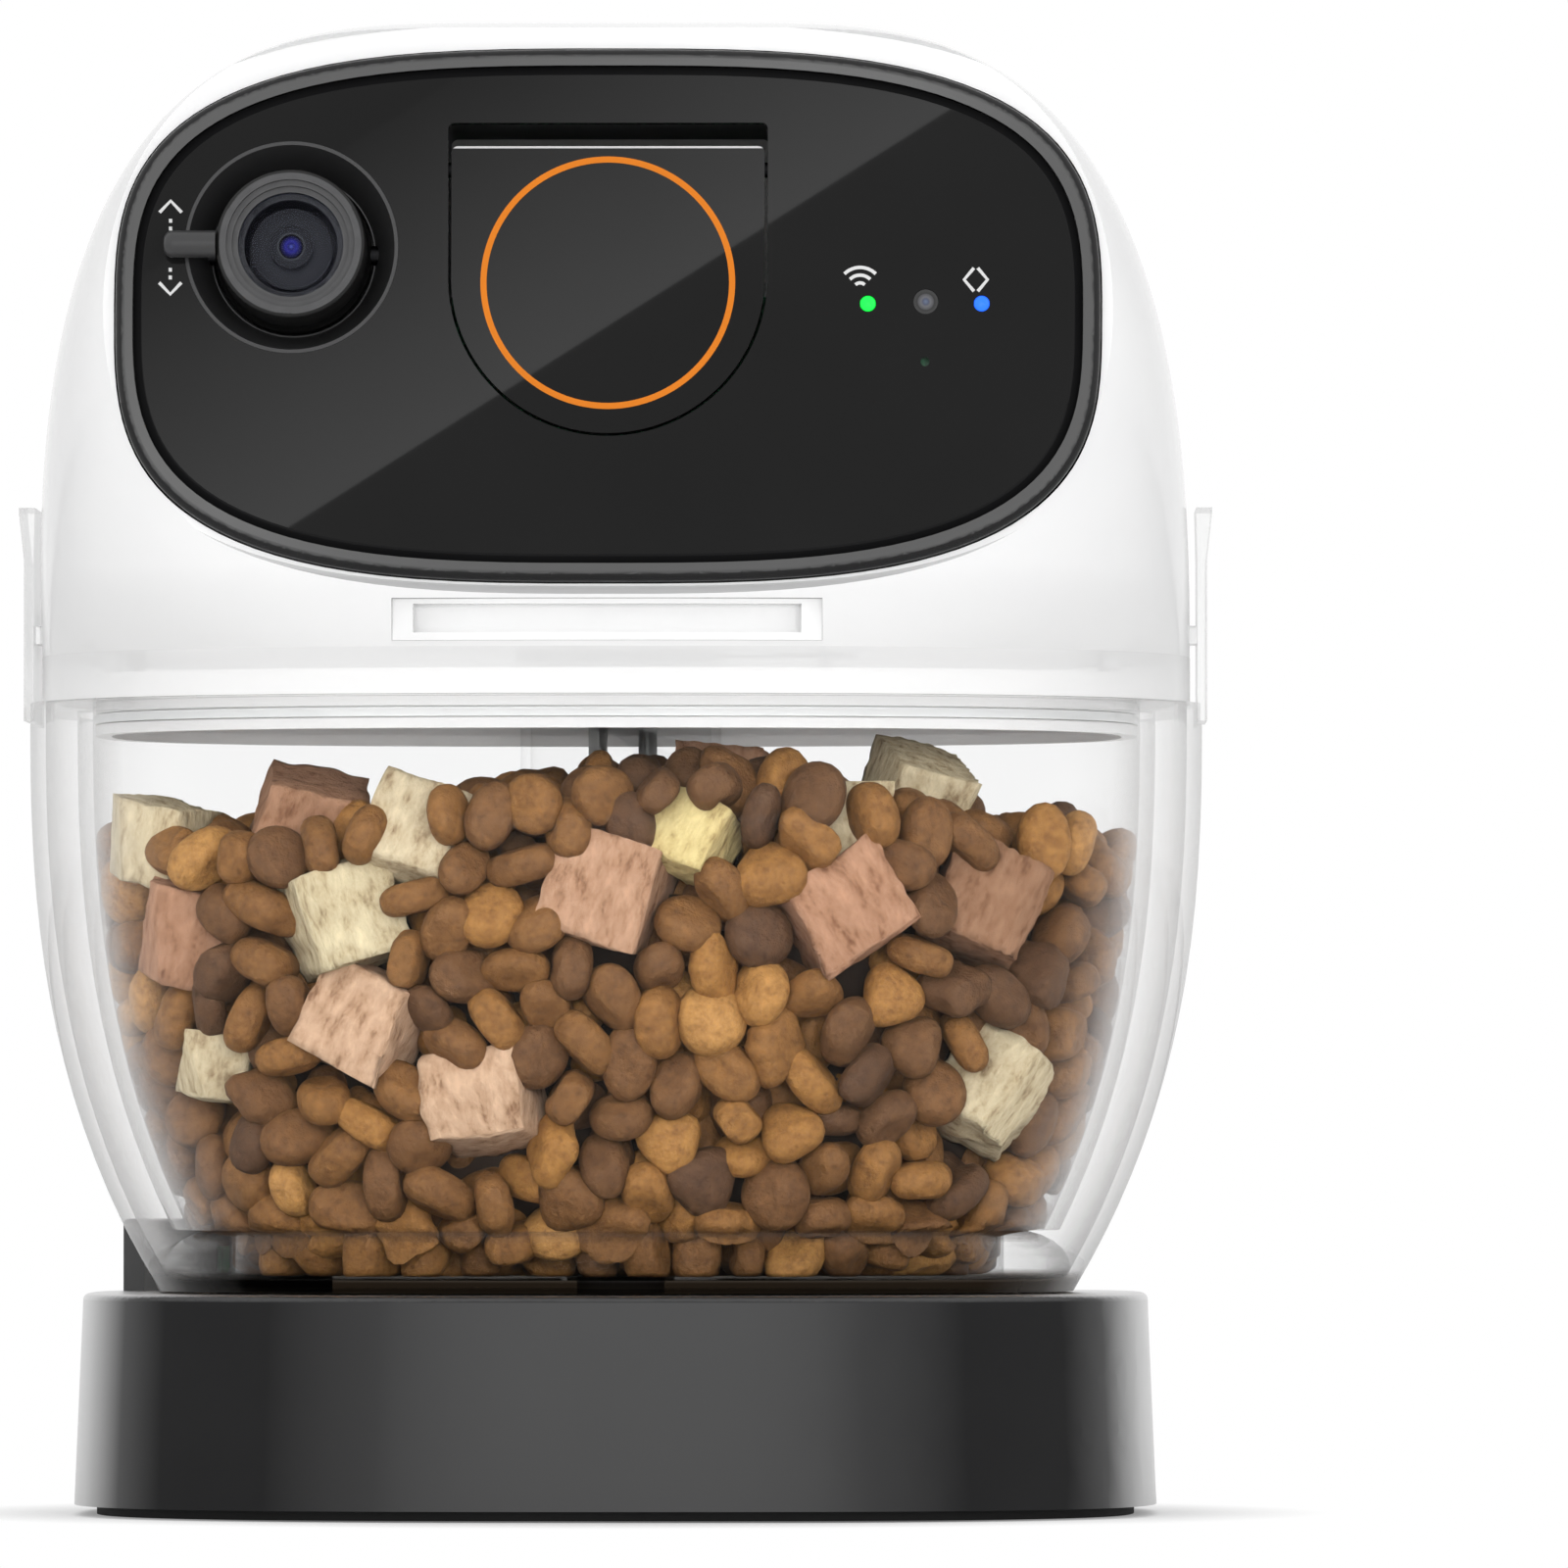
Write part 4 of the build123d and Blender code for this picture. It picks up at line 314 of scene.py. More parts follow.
def printed_light(name, colour, strength):
    """A small lit window whose glow is a little brighter in places."""
    n = Nodes(name)
    shader = n.add("BsdfPrincipled", Roughness=0.3, Emission_Strength=strength)
    n.link(n.ramp(n.noise(900, 2), [(0.2, colour), (0.9, [min(c * 1.15, 1) for c in colour])]),
           shader.inputs["Emission Color"])
    shader.inputs["Base Color"].default_value = (*colour, 1)
    return n.finish(shader.outputs["BSDF"])


def kibble_material():
    """Baked crumb: a tint of its own per piece, mottled, pitted and dull."""
    n = Nodes("kibble")
    tint = n.add("Attribute", attribute_name="tint").outputs["Fac"]
    own = n.ramp(tint, [
        (0.0, (0.100, 0.050, 0.024)), (0.3, (0.165, 0.078, 0.028)), (0.6, (0.255, 0.120, 0.034)),
        (0.85, (0.350, 0.170, 0.046)), (1.0, (0.430, 0.225, 0.070)),
    ])
    mottle = n.ramp(n.noise(520, 8, 0.8), [
        (0.30, (0.36, 0.32, 0.29)), (0.45, (0.78, 0.74, 0.70)), (0.55, (1.0, 1.0, 0.98)),
        (0.72, (1.35, 1.3, 1.2)),
    ])
    shader = n.add("BsdfPrincipled", Roughness=0.6, Specular_IOR_Level=0.35)
    n.link(n.blend(1.0, own, mottle, "MULTIPLY"), shader.inputs["Base Color"])
    n.link(n.between(n.noise(300, 3), 0.5, 0.8), shader.inputs["Roughness"])
    coarse = n.bump(n.noise(400, 4, 0.55), 0.6, 0.0010)
    pits = n.bump(n.noise(1300, 3, 0.6), 0.5, 0.0006, coarse)
    n.link(pits, shader.inputs["Normal"])
    return n.finish(shader.outputs["BSDF"])


def meat_material():
    """Freeze-dried meat cube: fibrous, pale, dusty."""
    n = Nodes("dried_meat")
    tint = n.add("Attribute", attribute_name="tint").outputs["Fac"]
    own = n.ramp(tint, [
        (0.0, (0.20, 0.110, 0.062)), (0.3, (0.42, 0.235, 0.150)), (0.55, (0.56, 0.38, 0.26)),
        (0.8, (0.58, 0.49, 0.34)), (0.93, (0.60, 0.52, 0.35)), (1.0, (0.68, 0.55, 0.23)),
    ])
    # fibres follow each cube's own axes
    stretched = n.add("Mapping")
    n.link(n.add("Attribute", attribute_name="own_place").outputs["Vector"], stretched.inputs["Vector"])
    stretched.inputs["Scale"].default_value = (1.0, 1.4, 0.45)
    fibre = n.noise(420, 7, 0.68, stretched.outputs["Vector"])
    dust = n.ramp(fibre, [
        (0.32, (0.42, 0.34, 0.28)), (0.45, (0.86, 0.82, 0.76)), (0.55, (1.0, 1.0, 0.98)),
        (0.72, (1.25, 1.25, 1.22)),
    ])
    shader = n.add("BsdfPrincipled", Roughness=0.9, Specular_IOR_Level=0.15)
    n.link(n.blend(1.0, own, dust, "MULTIPLY"), shader.inputs["Base Color"])
    n.link(n.bump(fibre, 0.8, 0.0012), shader.inputs["Normal"])
    return n.finish(shader.outputs["BSDF"])


# ---------------------------------------------------------------- mesh helpers


def new_object(name, vertices, faces, material, smooth=True):
    mesh = bpy.data.meshes.new(name)
    mesh.from_pydata([tuple(v) for v in vertices], [], [tuple(int(i) for i in f) for f in faces])
    mesh.validate()
    mesh.polygons.foreach_set("use_smooth", [smooth] * len(mesh.polygons))
    mesh.materials.append(material)
    thing = bpy.data.objects.new(name, mesh)
    scene.collection.objects.link(thing)
    return thing


def on_face(u, v, proud=0.0):
    """A point on the face, in metres: u to the right, v up, proud of it."""
    return FACE_CENTRE + FACE_RIGHT * u + FACE_UP * v + FACE_OUT * proud


def ribbon(path, width):
    """A flat band along a path of (u, v) points, as two sides of points."""
    left, right = [], []
    for i, point in enumerate(path):
        before, after = path[max(i - 1, 0)], path[min(i + 1, len(path) - 1)]
        along = Vector((after[0] - before[0], after[1] - before[1])).normalized()
        side = Vector((-along.y, along.x)) * (width / 2)
        left.append((point[0] + side.x, point[1] + side.y))
        right.append((point[0] - side.x, point[1] - side.y))
    return left, right


def print_on_face(name, paths, width, material, body="head"):
    """Thin raised print on the panel, a band along each path."""
    vertices, faces = [], []
    for path in paths:
        start = len(vertices)
        last = start + 4 * (len(path) - 1)
        for sides in zip(*ribbon(path, width)):
            for proud in (0, PRINT_THICKNESS):
                vertices += [on_face(u, v, PANEL_FRONT + proud) for u, v in sides]
        for a in range(start, last, 4):
            b = a + 4
            faces += [(a + 2, a + 3, b + 3, b + 2), (a, a + 2, b + 2, b), (a + 3, a + 1, b + 1, b + 3),
                      (a + 1, a, b, b + 1)]
        faces += [(start, start + 1, start + 3, start + 2), (last + 2, last + 3, last + 1, last)]
    piece = new_object(name, vertices, faces, material, smooth=False)
    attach(piece, body)


def arc(centre, radius, start, end, count=16):
    """Points (u, v) on an arc; angles in degrees."""
    angles = [math.radians(start + (end - start) * i / (count - 1)) for i in range(count)]
    return [(centre[0] + radius * math.cos(a), centre[1] + radius * math.sin(a)) for a in angles]


def turned(name, profile, centre, axis, material, body, segments=64):
    """A solid turned about an axis; profile is (radius, along) points from one end to the other."""
    across = axis.orthogonal().normalized()
    other = axis.cross(across)
    vertices, faces, rings = [], [], []
    for radius, along in profile:
        if radius < 1e-9:
            rings.append([len(vertices)])
            vertices.append(centre + axis * along)
            continue
        rings.append(list(range(len(vertices), len(vertices) + segments)))
        for i in range(segments):
            angle = 2 * math.pi * i / segments
            spoke = across * math.cos(angle) + other * math.sin(angle)
            vertices.append(centre + axis * along + spoke * radius)
    for low, high in zip(rings, rings[1:]):
        for i in range(segments):
            j = (i + 1) % segments
            if len(low) == 1:
                faces.append((low[0], high[j], high[i]))
            elif len(high) == 1:
                faces.append((low[i], low[j], high[0]))
            else:
                faces.append((low[i], low[j], high[j], high[i]))
    piece = new_object(name, vertices, faces, material)
    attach(piece, body)
    return piece


# ---------------------------------------------------------------- room for treats


def bowl_half_width(z):
    """The bowl's half width at height z."""
    tuck = np.clip((RIM_HEIGHT - z) / (RIM_HEIGHT - BOWL_BOTTOM), 0, None)
    return RIM_HALF_WIDTH - BOWL_TUCK * tuck**BOWL_TUCK_POWER


def room(z, clear):
    """Half width and half depth of the room for treats at height z, less a clearance."""
    half_width = bowl_half_width(z)
    wide = half_width - FILL_INSET
    deep = RIM_HALF_DEPTH * half_width / RIM_HALF_WIDTH - FILL_INSET
    low = z < SEAT_TOP
    wide = np.where(low, SEAT_HALF_WIDTH, wide)
    deep = np.where(low, SEAT_HALF_WIDTH * SEAT_DEPTH_SHARE, deep)
    return wide - clear, deep - clear


def heap_height(x, y):
    """Height of the heap's surface: low at the ends and highest just right of the middle."""
    swell = 0.0105 * np.exp(-((x - 0.010) / 0.042) ** 2)
    ripple = 0.0014 * np.cos(x / 0.009) * np.cos(y / 0.012 + 1)
    round_tube = 0.0022 * np.exp(-(x / 0.016) ** 2 - ((y - 0.010) / 0.012) ** 2)
    front_dip = 0.0015 * np.exp(-((y + 0.06) / 0.02) ** 2)
    return HEAP_LEVEL + swell + ripple + round_tube - front_dip


def plan_reach(x, y, wide, deep):
    """How far out a point lies in the plan of the room: 0 in the middle, 1 at the wall."""
    return (np.abs(x / wide) ** PLAN_POWER + np.abs(y / deep) ** PLAN_POWER) ** (1 / PLAN_POWER)


def within_wall(x, y, z, clear, moving=True):
    """Brings points that lie outside the room straight back to its wall."""
    reach = plan_reach(x, y, *room(z, clear))
    pull = np.where((reach > 1) & moving, 1 / reach, 1)
    return x * pull, y * pull


def outside_tube(x, y, clear, moving=True):
    """Brings points that lie in the lift tube, or nearer than a clearance, straight out of it."""
    dx, dy = x - TUBE_CENTRE[0], y - TUBE_CENTRE[1]
    off = np.hypot(dx, dy) + 1e-9
    need = TUBE_RADIUS + clear
    out = np.where((off < need) & moving, need / off, 1)
    return TUBE_CENTRE[0] + dx * out, TUBE_CENTRE[1] + dy * out


def settle(points, radii, fixed, steps):
    """Pushes pieces apart and back into the bowl until they lie packed."""
    moving = ~fixed
    for _ in range(steps):
        gap = points[:, None, :] - points[None, :, :]
        apart = np.sqrt((gap**2).sum(-1)) + 1e-9
        wanted = radii[:, None] + radii[None, :]
        push = np.clip(wanted - apart, 0, None) * (apart < wanted)
        np.fill_diagonal(push, 0)
        shove = (gap / apart[..., None] * push[..., None]).sum(1) * SETTLE_SHARE
        points[moving] += shove[moving]
        points[moving, 2] -= SETTLE_SINK
        keep_in(points, radii, moving)
    return points


def keep_in(points, radii, moving):
    """Brings the moving pieces back under the heap's surface, inside the wall and off the tube."""
    x, y, z = points[:, 0], points[:, 1], points[:, 2]
    z[moving] = np.clip(z, FILL_BOTTOM + radii * 0.8, heap_height(x, y) - radii * 0.6)[moving]
    x[:], y[:] = within_wall(x, y, z, radii, moving)
    x[:], y[:] = outside_tube(x, y, radii, moving)


# ---------------------------------------------------------------- treats

rng = np.random.default_rng(11)


def quad_ball(grid):
    """Directions on a unit ball and the quads between them, from a cube cut into squares."""
    steps = np.linspace(-1, 1, grid + 1)
    corners, quads, index = [], [], {}
    for axis in range(3):
        for sign in (-1, 1):
            for i in range(grid):
                for j in range(grid):
                    quad = []
                    for a, b in ((i, j), (i + 1, j), (i + 1, j + 1), (i, j + 1)):
                        point = [0.0, 0.0, 0.0]
                        point[axis] = float(sign)
                        point[(axis + 1) % 3] = math.tan(steps[a] * math.pi / 4)
                        point[(axis + 2) % 3] = math.tan(steps[b] * math.pi / 4)
                        key = tuple(round(c, 6) for c in point)
                        if key not in index:
                            index[key] = len(corners)
                            corners.append(point)
                        quad.append(index[key])
                    quads.append(quad if sign > 0 else quad[::-1])
    ball = np.array(corners)
    return ball / np.linalg.norm(ball, axis=1, keepdims=True), np.array(quads)


def mesh_object(name, points, quads, tints, material, body):
    """One object from arrays of points and quads, with a tint for each point."""
    mesh = bpy.data.meshes.new(name)
    mesh.vertices.add(len(points))
    mesh.vertices.foreach_set("co", points.astype(np.float32).ravel())
    mesh.loops.add(quads.size)
    mesh.loops.foreach_set("vertex_index", quads.astype(np.int32).ravel())
    mesh.polygons.add(len(quads))
    mesh.polygons.foreach_set("loop_start", np.arange(0, quads.size, 4, dtype=np.int32))
    mesh.update(calc_edges=True)
    mesh.polygons.foreach_set("use_smooth", np.ones(len(quads), bool))
    mesh.attributes.new("tint", "FLOAT", "POINT").data.foreach_set("value", tints.astype(np.float32))
    mesh.materials.append(material)
    thing = bpy.data.objects.new(name, mesh)
    scene.collection.objects.link(thing)
    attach(thing, body)
    return thing


def lumps(ball, strength):
    """Slow uneven swelling over a ball's directions."""
    swell = np.zeros(len(ball))
    for pitch in (2.0, 3.4, 5.5):
        wave = rng.normal(size=3)
        wave *= pitch / np.linalg.norm(wave)
        swell += np.sin(ball @ wave + rng.uniform(0, 6.28)) / pitch
    return 1 + strength * swell


def kibble_shape(ball, kind):
    """A biscuit with a dimple on each side; its disc lies across z. Half lengths are in metres."""
    turn = np.arctan2(ball[:, 1], ball[:, 0])
    flat = np.hypot(ball[:, 0], ball[:, 1])
    if kind == "oval":
        outline = 1 / (np.abs(np.cos(turn)) ** 2.1 + np.abs(np.sin(turn) / 0.68) ** 2.1) ** (1 / 2.1)
        reach, thick, dimple, dimple_width = 0.0062, 0.0035, 0.34, 0.5
    elif kind == "round":
        outline = 1 + 0.03 * np.cos(2 * turn)
        reach, thick, dimple, dimple_width = 0.0055, 0.0035, 0.16, 0.4
    elif kind == "heart":
        outline = 0.93 + 0.10 * np.cos(3 * turn) - 0.04 * np.cos(turn)
        reach, thick, dimple, dimple_width = 0.0061, 0.0035, 0.08, 0.35
    elif kind == "cross":
        outline = 0.9 + 0.13 * np.cos(4 * turn)
        reach, thick, dimple, dimple_width = 0.0062, 0.0032, 0.25, 0.3
    else:
        outline = 0.62 + 0.3 * np.cos(2 * turn) ** 2 * np.abs(np.cos(turn)) + 0.1
        reach, thick, dimple, dimple_width = 0.0070, 0.0032, 0.2, 0.3
    rim = flat**0.88
    across = rim * outline * np.cos(turn)
    along = rim * outline * np.sin(turn)
    spread = (across / dimple_width) ** 2 + (along / (dimple_width * 0.6)) ** 2
    height = np.sign(ball[:, 2]) * np.abs(ball[:, 2]) ** 0.8 * (1 - dimple * np.exp(-spread))
    size = rng.uniform(0.86, 1.06)
    shape = np.stack([across * reach, along * reach, height * thick * rng.uniform(0.9, 1.15)], axis=1)
    return shape * size * lumps(ball, 0.05)[:, None]


def cube_shape(ball, half):
    """A rough cube with split, fibrous faces."""
    edge = np.abs(ball).max(axis=1, keepdims=True)
    cube = ball / edge * (1 - 0.11 * (1 - edge) ** 0.5)
    grain = rng.normal(size=3)
    grain /= np.linalg.norm(grain)
    tear = np.zeros(len(ball))
    for pitch in (3, 7, 13, 23):
        wave = rng.normal(size=3) * pitch
        wave -= grain * (wave @ grain) * 0.7
        tear += np.sin(cube @ wave + rng.uniform(0, 6.28)) / pitch**0.75
    squash = rng.uniform(0.86, 1.04, size=3)
    return cube * squash * half * (1 + 0.085 * tear)[:, None] * lumps(ball, 0.07)[:, None]


def cube_turn():
    """A rotation that leaves a cube with one face roughly to the front."""
    turn = np.eye(3)
    for first, second, most in ((0, 1, 0.5), (1, 2, 0.35), (0, 2, 0.6)):
        angle = rng.uniform(-most, most)
        part = np.eye(3)
        part[first, first] = part[second, second] = math.cos(angle)
        part[first, second], part[second, first] = -math.sin(angle), math.sin(angle)
        turn = part @ turn
    return turn


def random_turn():
    """A random rotation matrix."""
    quaternion = rng.normal(size=4)
    w, x, y, z = quaternion / np.linalg.norm(quaternion)
    return np.array([
        [1 - 2 * (y * y + z * z), 2 * (x * y - z * w), 2 * (x * z + y * w)],
        [2 * (x * y + z * w), 1 - 2 * (x * x + z * z), 2 * (y * z - x * w)],
        [2 * (x * z - y * w), 2 * (y * z + x * w), 1 - 2 * (x * x + y * y)],
    ])


def press_in(points):
    """Presses points that would pass through the bowl's wall, floor or tube back onto them."""
    x, y, z = points.T
    z = np.maximum(z, FILL_BOTTOM + 0.0002)
    x, y = within_wall(x, y, z, 0.0)
    x, y = outside_tube(x, y, 0.0)
    return np.stack([x, y, z], axis=1)


# Meat cubes against the front wall: x, z, half size, tint, how far behind the wall, in millimetres
MEAT_CUBES = [
    (-71, 105, 7.4, 0.86, 0), (-65, 91, 8.6, 0.30, 0), (-47, 108, 8.4, 0.22, 9), (-41, 93, 9.0, 0.92, 0),
    (-30, 106, 7.6, 0.80, 4), (-38, 77, 8.0, 0.52, 0), (-62, 70, 6.0, 0.85, 0), (-19, 65, 8.2, 0.55, 0),
    (0, 97, 9.2, 0.38, 0), (12, 105, 6.6, 0.98, 3), (17, 112, 7.6, 0.20, 22), (36, 107, 7.0, 0.88, 6),
    (36, 94, 9.0, 0.30, 0), (47, 111, 7.4, 0.84, 20), (58, 95, 9.0, 0.14, 0), (58, 66, 8.0, 0.86, 0),
    (-20, 104, 7.0, 0.32, 70), (30, 98, 8.0, 0.62, 112), (-45, 86, 8.0, 0.90, 112), (-8, 70, 8.0, 0.30, 112),
    (50, 74, 8.0, 0.50, 112),
]


def meat_places():
    """Middles and half sizes of the meat cubes, each as far behind the front wall as it says."""
    places = np.zeros((len(MEAT_CUBES), 3))
    halves = np.zeros(len(MEAT_CUBES))
    for row, (x, z, half, _tint, behind) in enumerate(MEAT_CUBES):
        height, size = np.array(z * MM), half * MM
        wide, deep = room(height, size * 0.92)
        side = max(1 - abs(x * MM / float(wide)) ** PLAN_POWER, 0) ** (1 / PLAN_POWER)
        front = -float(deep) * side
        places[row] = x * MM, min(front + behind * MM, float(deep) * side), z * MM
        halves[row] = size
    return places, halves


def kibble_places(cubes, cube_halves):
    """Middles of the kibble: against the walls, on the floor and on top, packed round the cubes."""
    spots = np.zeros((0, 3))
    while len(spots) < KIBBLE_COUNT:
        tries = rng.uniform((-0.085, -0.07, FILL_BOTTOM), (0.085, 0.07, 0.118), size=(4000, 3))
        x, y, z = tries.T
        reach = plan_reach(x, y, *room(z, 0.003))
        surface = heap_height(x, y)
        near_wall = reach > 1 - KIBBLE_LAYER_SHARE
        near_top = z > surface - KIBBLE_LAYER
        near_bottom = z < FILL_BOTTOM + 0.008
        inside = (reach < 1) & (z < surface)
        off_tube = np.hypot(x - TUBE_CENTRE[0], y - TUBE_CENTRE[1]) > TUBE_RADIUS + 0.003
        spots = np.vstack([spots, tries[inside & off_tube & (near_wall | near_top | near_bottom)]])
    points = np.vstack([cubes, spots[:KIBBLE_COUNT]])
    sizes = rng.uniform(*KIBBLE_RADII, size=KIBBLE_COUNT)
    radii = np.concatenate([cube_halves * MEAT_SPACING, sizes])
    fixed = np.arange(len(points)) < len(cubes)
    return settle(points, radii, fixed, 90)[len(cubes):]


def make_kibble(middles):
    """The kibble, merged into a few objects."""
    ball, quads = quad_ball(KIBBLE_GRID)
    look = kibble_material()
    kinds = rng.choice(list(KIBBLE_KINDS), size=KIBBLE_COUNT, p=list(KIBBLE_KINDS.values()))
    shapes, tints = [], []
    for middle, kind in zip(middles, kinds):
        shape = kibble_shape(ball, kind) @ random_turn().T
        shapes.append(press_in(shape + middle))
        tints.append(np.full(len(ball), np.clip(rng.normal(*KIBBLE_TINT), 0, 1)))
    for number, group in enumerate(np.array_split(np.arange(KIBBLE_COUNT), KIBBLE_GROUPS)):
        merged = np.concatenate([shapes[i] for i in group])
        all_quads = np.concatenate([quads + len(ball) * row for row in range(len(group))])
        tint = np.concatenate([tints[i] for i in group])
        mesh_object(f"kibble_{number + 1}", merged, all_quads, tint, look, "bowl")


def make_meat(cubes, cube_halves):
    """The meat cubes; each keeps its own coordinates, which its fibres follow."""
    ball, quads = quad_ball(MEAT_GRID)
    look = meat_material()
    for number, (middle, half) in enumerate(zip(cubes, cube_halves)):
        own_shape = cube_shape(ball, half)
        shape = press_in(own_shape @ cube_turn().T + middle)
        tint = np.full(len(ball), MEAT_CUBES[number][3])
        cube = mesh_object(f"meat_cube_{number + 1}", shape, quads, tint, look, "bowl")
        own = cube.data.attributes.new("own_place", "FLOAT_VECTOR", "POINT")
        own.data.foreach_set("vector", (own_shape + 0.05 * number).astype(np.float32).ravel())


def make_core():
    """A dark closed form a little inside the outer treats: painted shade that shows through the gaps between
    them.
    """
    around = np.linspace(0, 2 * math.pi, 49)[:-1]
    count = len(around)
    rings = []
    for z in np.linspace(FILL_BOTTOM + CORE_LIFT, CORE_TOP, 10):
        wide, deep = room(np.array(z), CORE_INSET)
        x = float(wide) * np.sign(np.cos(around)) * np.abs(np.cos(around)) ** (2 / PLAN_POWER)
        y = float(deep) * np.sign(np.sin(around)) * np.abs(np.sin(around)) ** (2 / PLAN_POWER)
        rings.append(np.stack([x, y, np.full(count, z)], axis=1))
    faces = []
    for start in range(0, (len(rings) - 1) * count, count):
        for i in range(count):
            j = (i + 1) % count
            faces.append([start + i, start + j, start + count + j, start + count + i])
    faces.append(list(range(count))[::-1])
    faces.append([(len(rings) - 1) * count + i for i in range(count)])
    # painted shade: dark brown in place of the treats deeper in the heap
    shade = plastic("treats_in_shade", (0.020, 0.011, 0.006), 0.8)
    heart = new_object("treat_core_shade", np.concatenate(rings), faces, shade)
    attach(heart, "bowl")
    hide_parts("treat_fill")


def make_treats():
    cubes, cube_halves = meat_places()
    make_kibble(kibble_places(cubes, cube_halves))
    make_meat(cubes, cube_halves)
    make_core()


# ---------------------------------------------------------------- camera, world, floor and lights


def make_camera():
    data = bpy.data.cameras.new("camera")
    data.sensor_fit = "HORIZONTAL"
    data.sensor_width = SENSOR_MM
    data.lens = SENSOR_MM * PIXELS_PER_MM * CAMERA_DISTANCE / MM / IMAGE_WIDTH
    data.clip_end = 20
    camera = bpy.data.objects.new("camera", data)
    scene.collection.objects.link(camera)
    place = Vector((math.sin(CAMERA_TURN), -math.cos(CAMERA_TURN), 0)) * CAMERA_DISTANCE
    place.z = EYE_HEIGHT
    middle = IMAGE_WIDTH / 2
    target = Vector((
        (middle - AXIS_PIXEL) / PIXELS_PER_MM * MM,
        0.0,
        EYE_HEIGHT + (EYE_LEVEL_PIXEL - middle) / PIXELS_PER_MM * MM,
    ))
    camera.location = place
    camera.rotation_euler = (target - place).to_track_quat("-Z", "Y").to_euler()
    scene.camera = camera


def make_world():
    """Soft light from all round; the camera, gloss and glass see plain white."""
    world = bpy.data.worlds.new("studio")
    world.use_nodes = True
    tree = world.node_tree
    background = tree.nodes["Background"]
    background.inputs["Color"].default_value = (1, 1, 1, 1)
    path = tree.nodes.new("ShaderNodeLightPath")
    seen = None
    for ray in ("Is Camera Ray", "Is Glossy Ray", "Is Transmission Ray"):
        output = path.outputs[ray]
        if seen is None:
            seen = output
            continue
        larger = tree.nodes.new("ShaderNodeMath")
        larger.operation = "MAXIMUM"
        tree.links.new(seen, larger.inputs[0])
        tree.links.new(output, larger.inputs[1])
        seen = larger.outputs[0]
    strength = tree.nodes.new("ShaderNodeMapRange")
    strength.inputs["To Min"].default_value = WORLD_LIGHT
    strength.inputs["To Max"].default_value = 1.0
    tree.links.new(seen, strength.inputs["Value"])
    tree.links.new(strength.outputs["Result"], background.inputs["Strength"])
    scene.world = world


def make_floor():
    """A pale floor that keeps the object's shadow and runs out into the white all round."""
    size = 3.0
    bpy.ops.mesh.primitive_circle_add(vertices=96, radius=size, fill_type="NGON", location=(0, 0, -0.0002))
    floor = bpy.context.object
    floor.name = "floor"
    n = Nodes("floor")
    away = n.add("VectorMath", operation="LENGTH")
    n.link(n.place(), away.inputs[0])
    white = n.add("Emission", Color=(1, 1, 1, 1), Strength=1.0).outputs["Emission"]
    paint = n.add("BsdfDiffuse", Color=(0.93, 0.93, 0.93, 1)).outputs["BSDF"]
    path = n.add("LightPath")
    open_floor = n.between(away.outputs["Value"], 0.15, 1.0, 0.078, 0.112)
    seen = n.math("MULTIPLY", open_floor, path.outputs["Is Camera Ray"])
    floor.data.materials.append(n.finish(n.mix(seen, paint, white)))


def make_lights():
    """Soft rectangular lamps that neither the camera nor gloss sees."""
    for name, place, aim, size, power in LAMPS:
        data = bpy.data.lights.new(name, "AREA")
        data.shape = "RECTANGLE"
        data.size, data.size_y = size
        data.energy = power
        light = bpy.data.objects.new(name, data)
        light.location = place
        way = Vector((0, 0, aim)) - Vector(place)
        light.rotation_euler = way.to_track_quat("-Z", "Y").to_euler()
        light.visible_camera = False
        light.visible_glossy = False
        scene.collection.objects.link(light)


def mirrored(u, v, distance):
    """Where the camera sees, mirrored in the panel at (u, v), the plane that far in front of it."""
    eye = scene.camera.location
    point = on_face(u, v)
    ray = (point - eye).normalized()
    bounce = ray - FACE_OUT * 2 * ray.dot(FACE_OUT)
    return point + bounce * (distance / -bounce.y)


def make_glare_card():
    """A bright card in front and above; its slanting edge is mirrored across the panel."""
    lower, upper = Vector(GLARE_LOW), Vector(GLARE_HIGH)
    along = (upper - lower).normalized()
    reach = Vector((-along.y, along.x)) * GLARE_REACH
    start, end = lower - along * 0.02, upper + along * 0.05
    vertices = [mirrored(c.x, c.y, GLARE_DISTANCE) for c in (start, end, end + reach, start + reach)]
    n = Nodes("glare_card")
    emission = n.add("Emission", Color=(1, 1, 1, 1))
    fade = n.add("Attribute", attribute_name="fade").outputs["Fac"]
    n.link(n.between(fade, 1.2, GLARE_STRENGTH), emission.inputs["Strength"])
    glow = n.finish(emission.outputs["Emission"])
    card = new_object("glare_card", vertices, [(0, 1, 2, 3)], glow, smooth=False)
    strength = card.data.attributes.new("fade", "FLOAT", "POINT")
    strength.data.foreach_set("value", [1.0, 1.0, 0.0, 0.0])
    card.visible_camera = False
    card.visible_diffuse = False
    card.visible_transmission = False
    card.visible_shadow = False


# ---------------------------------------------------------------- print and lights on the face


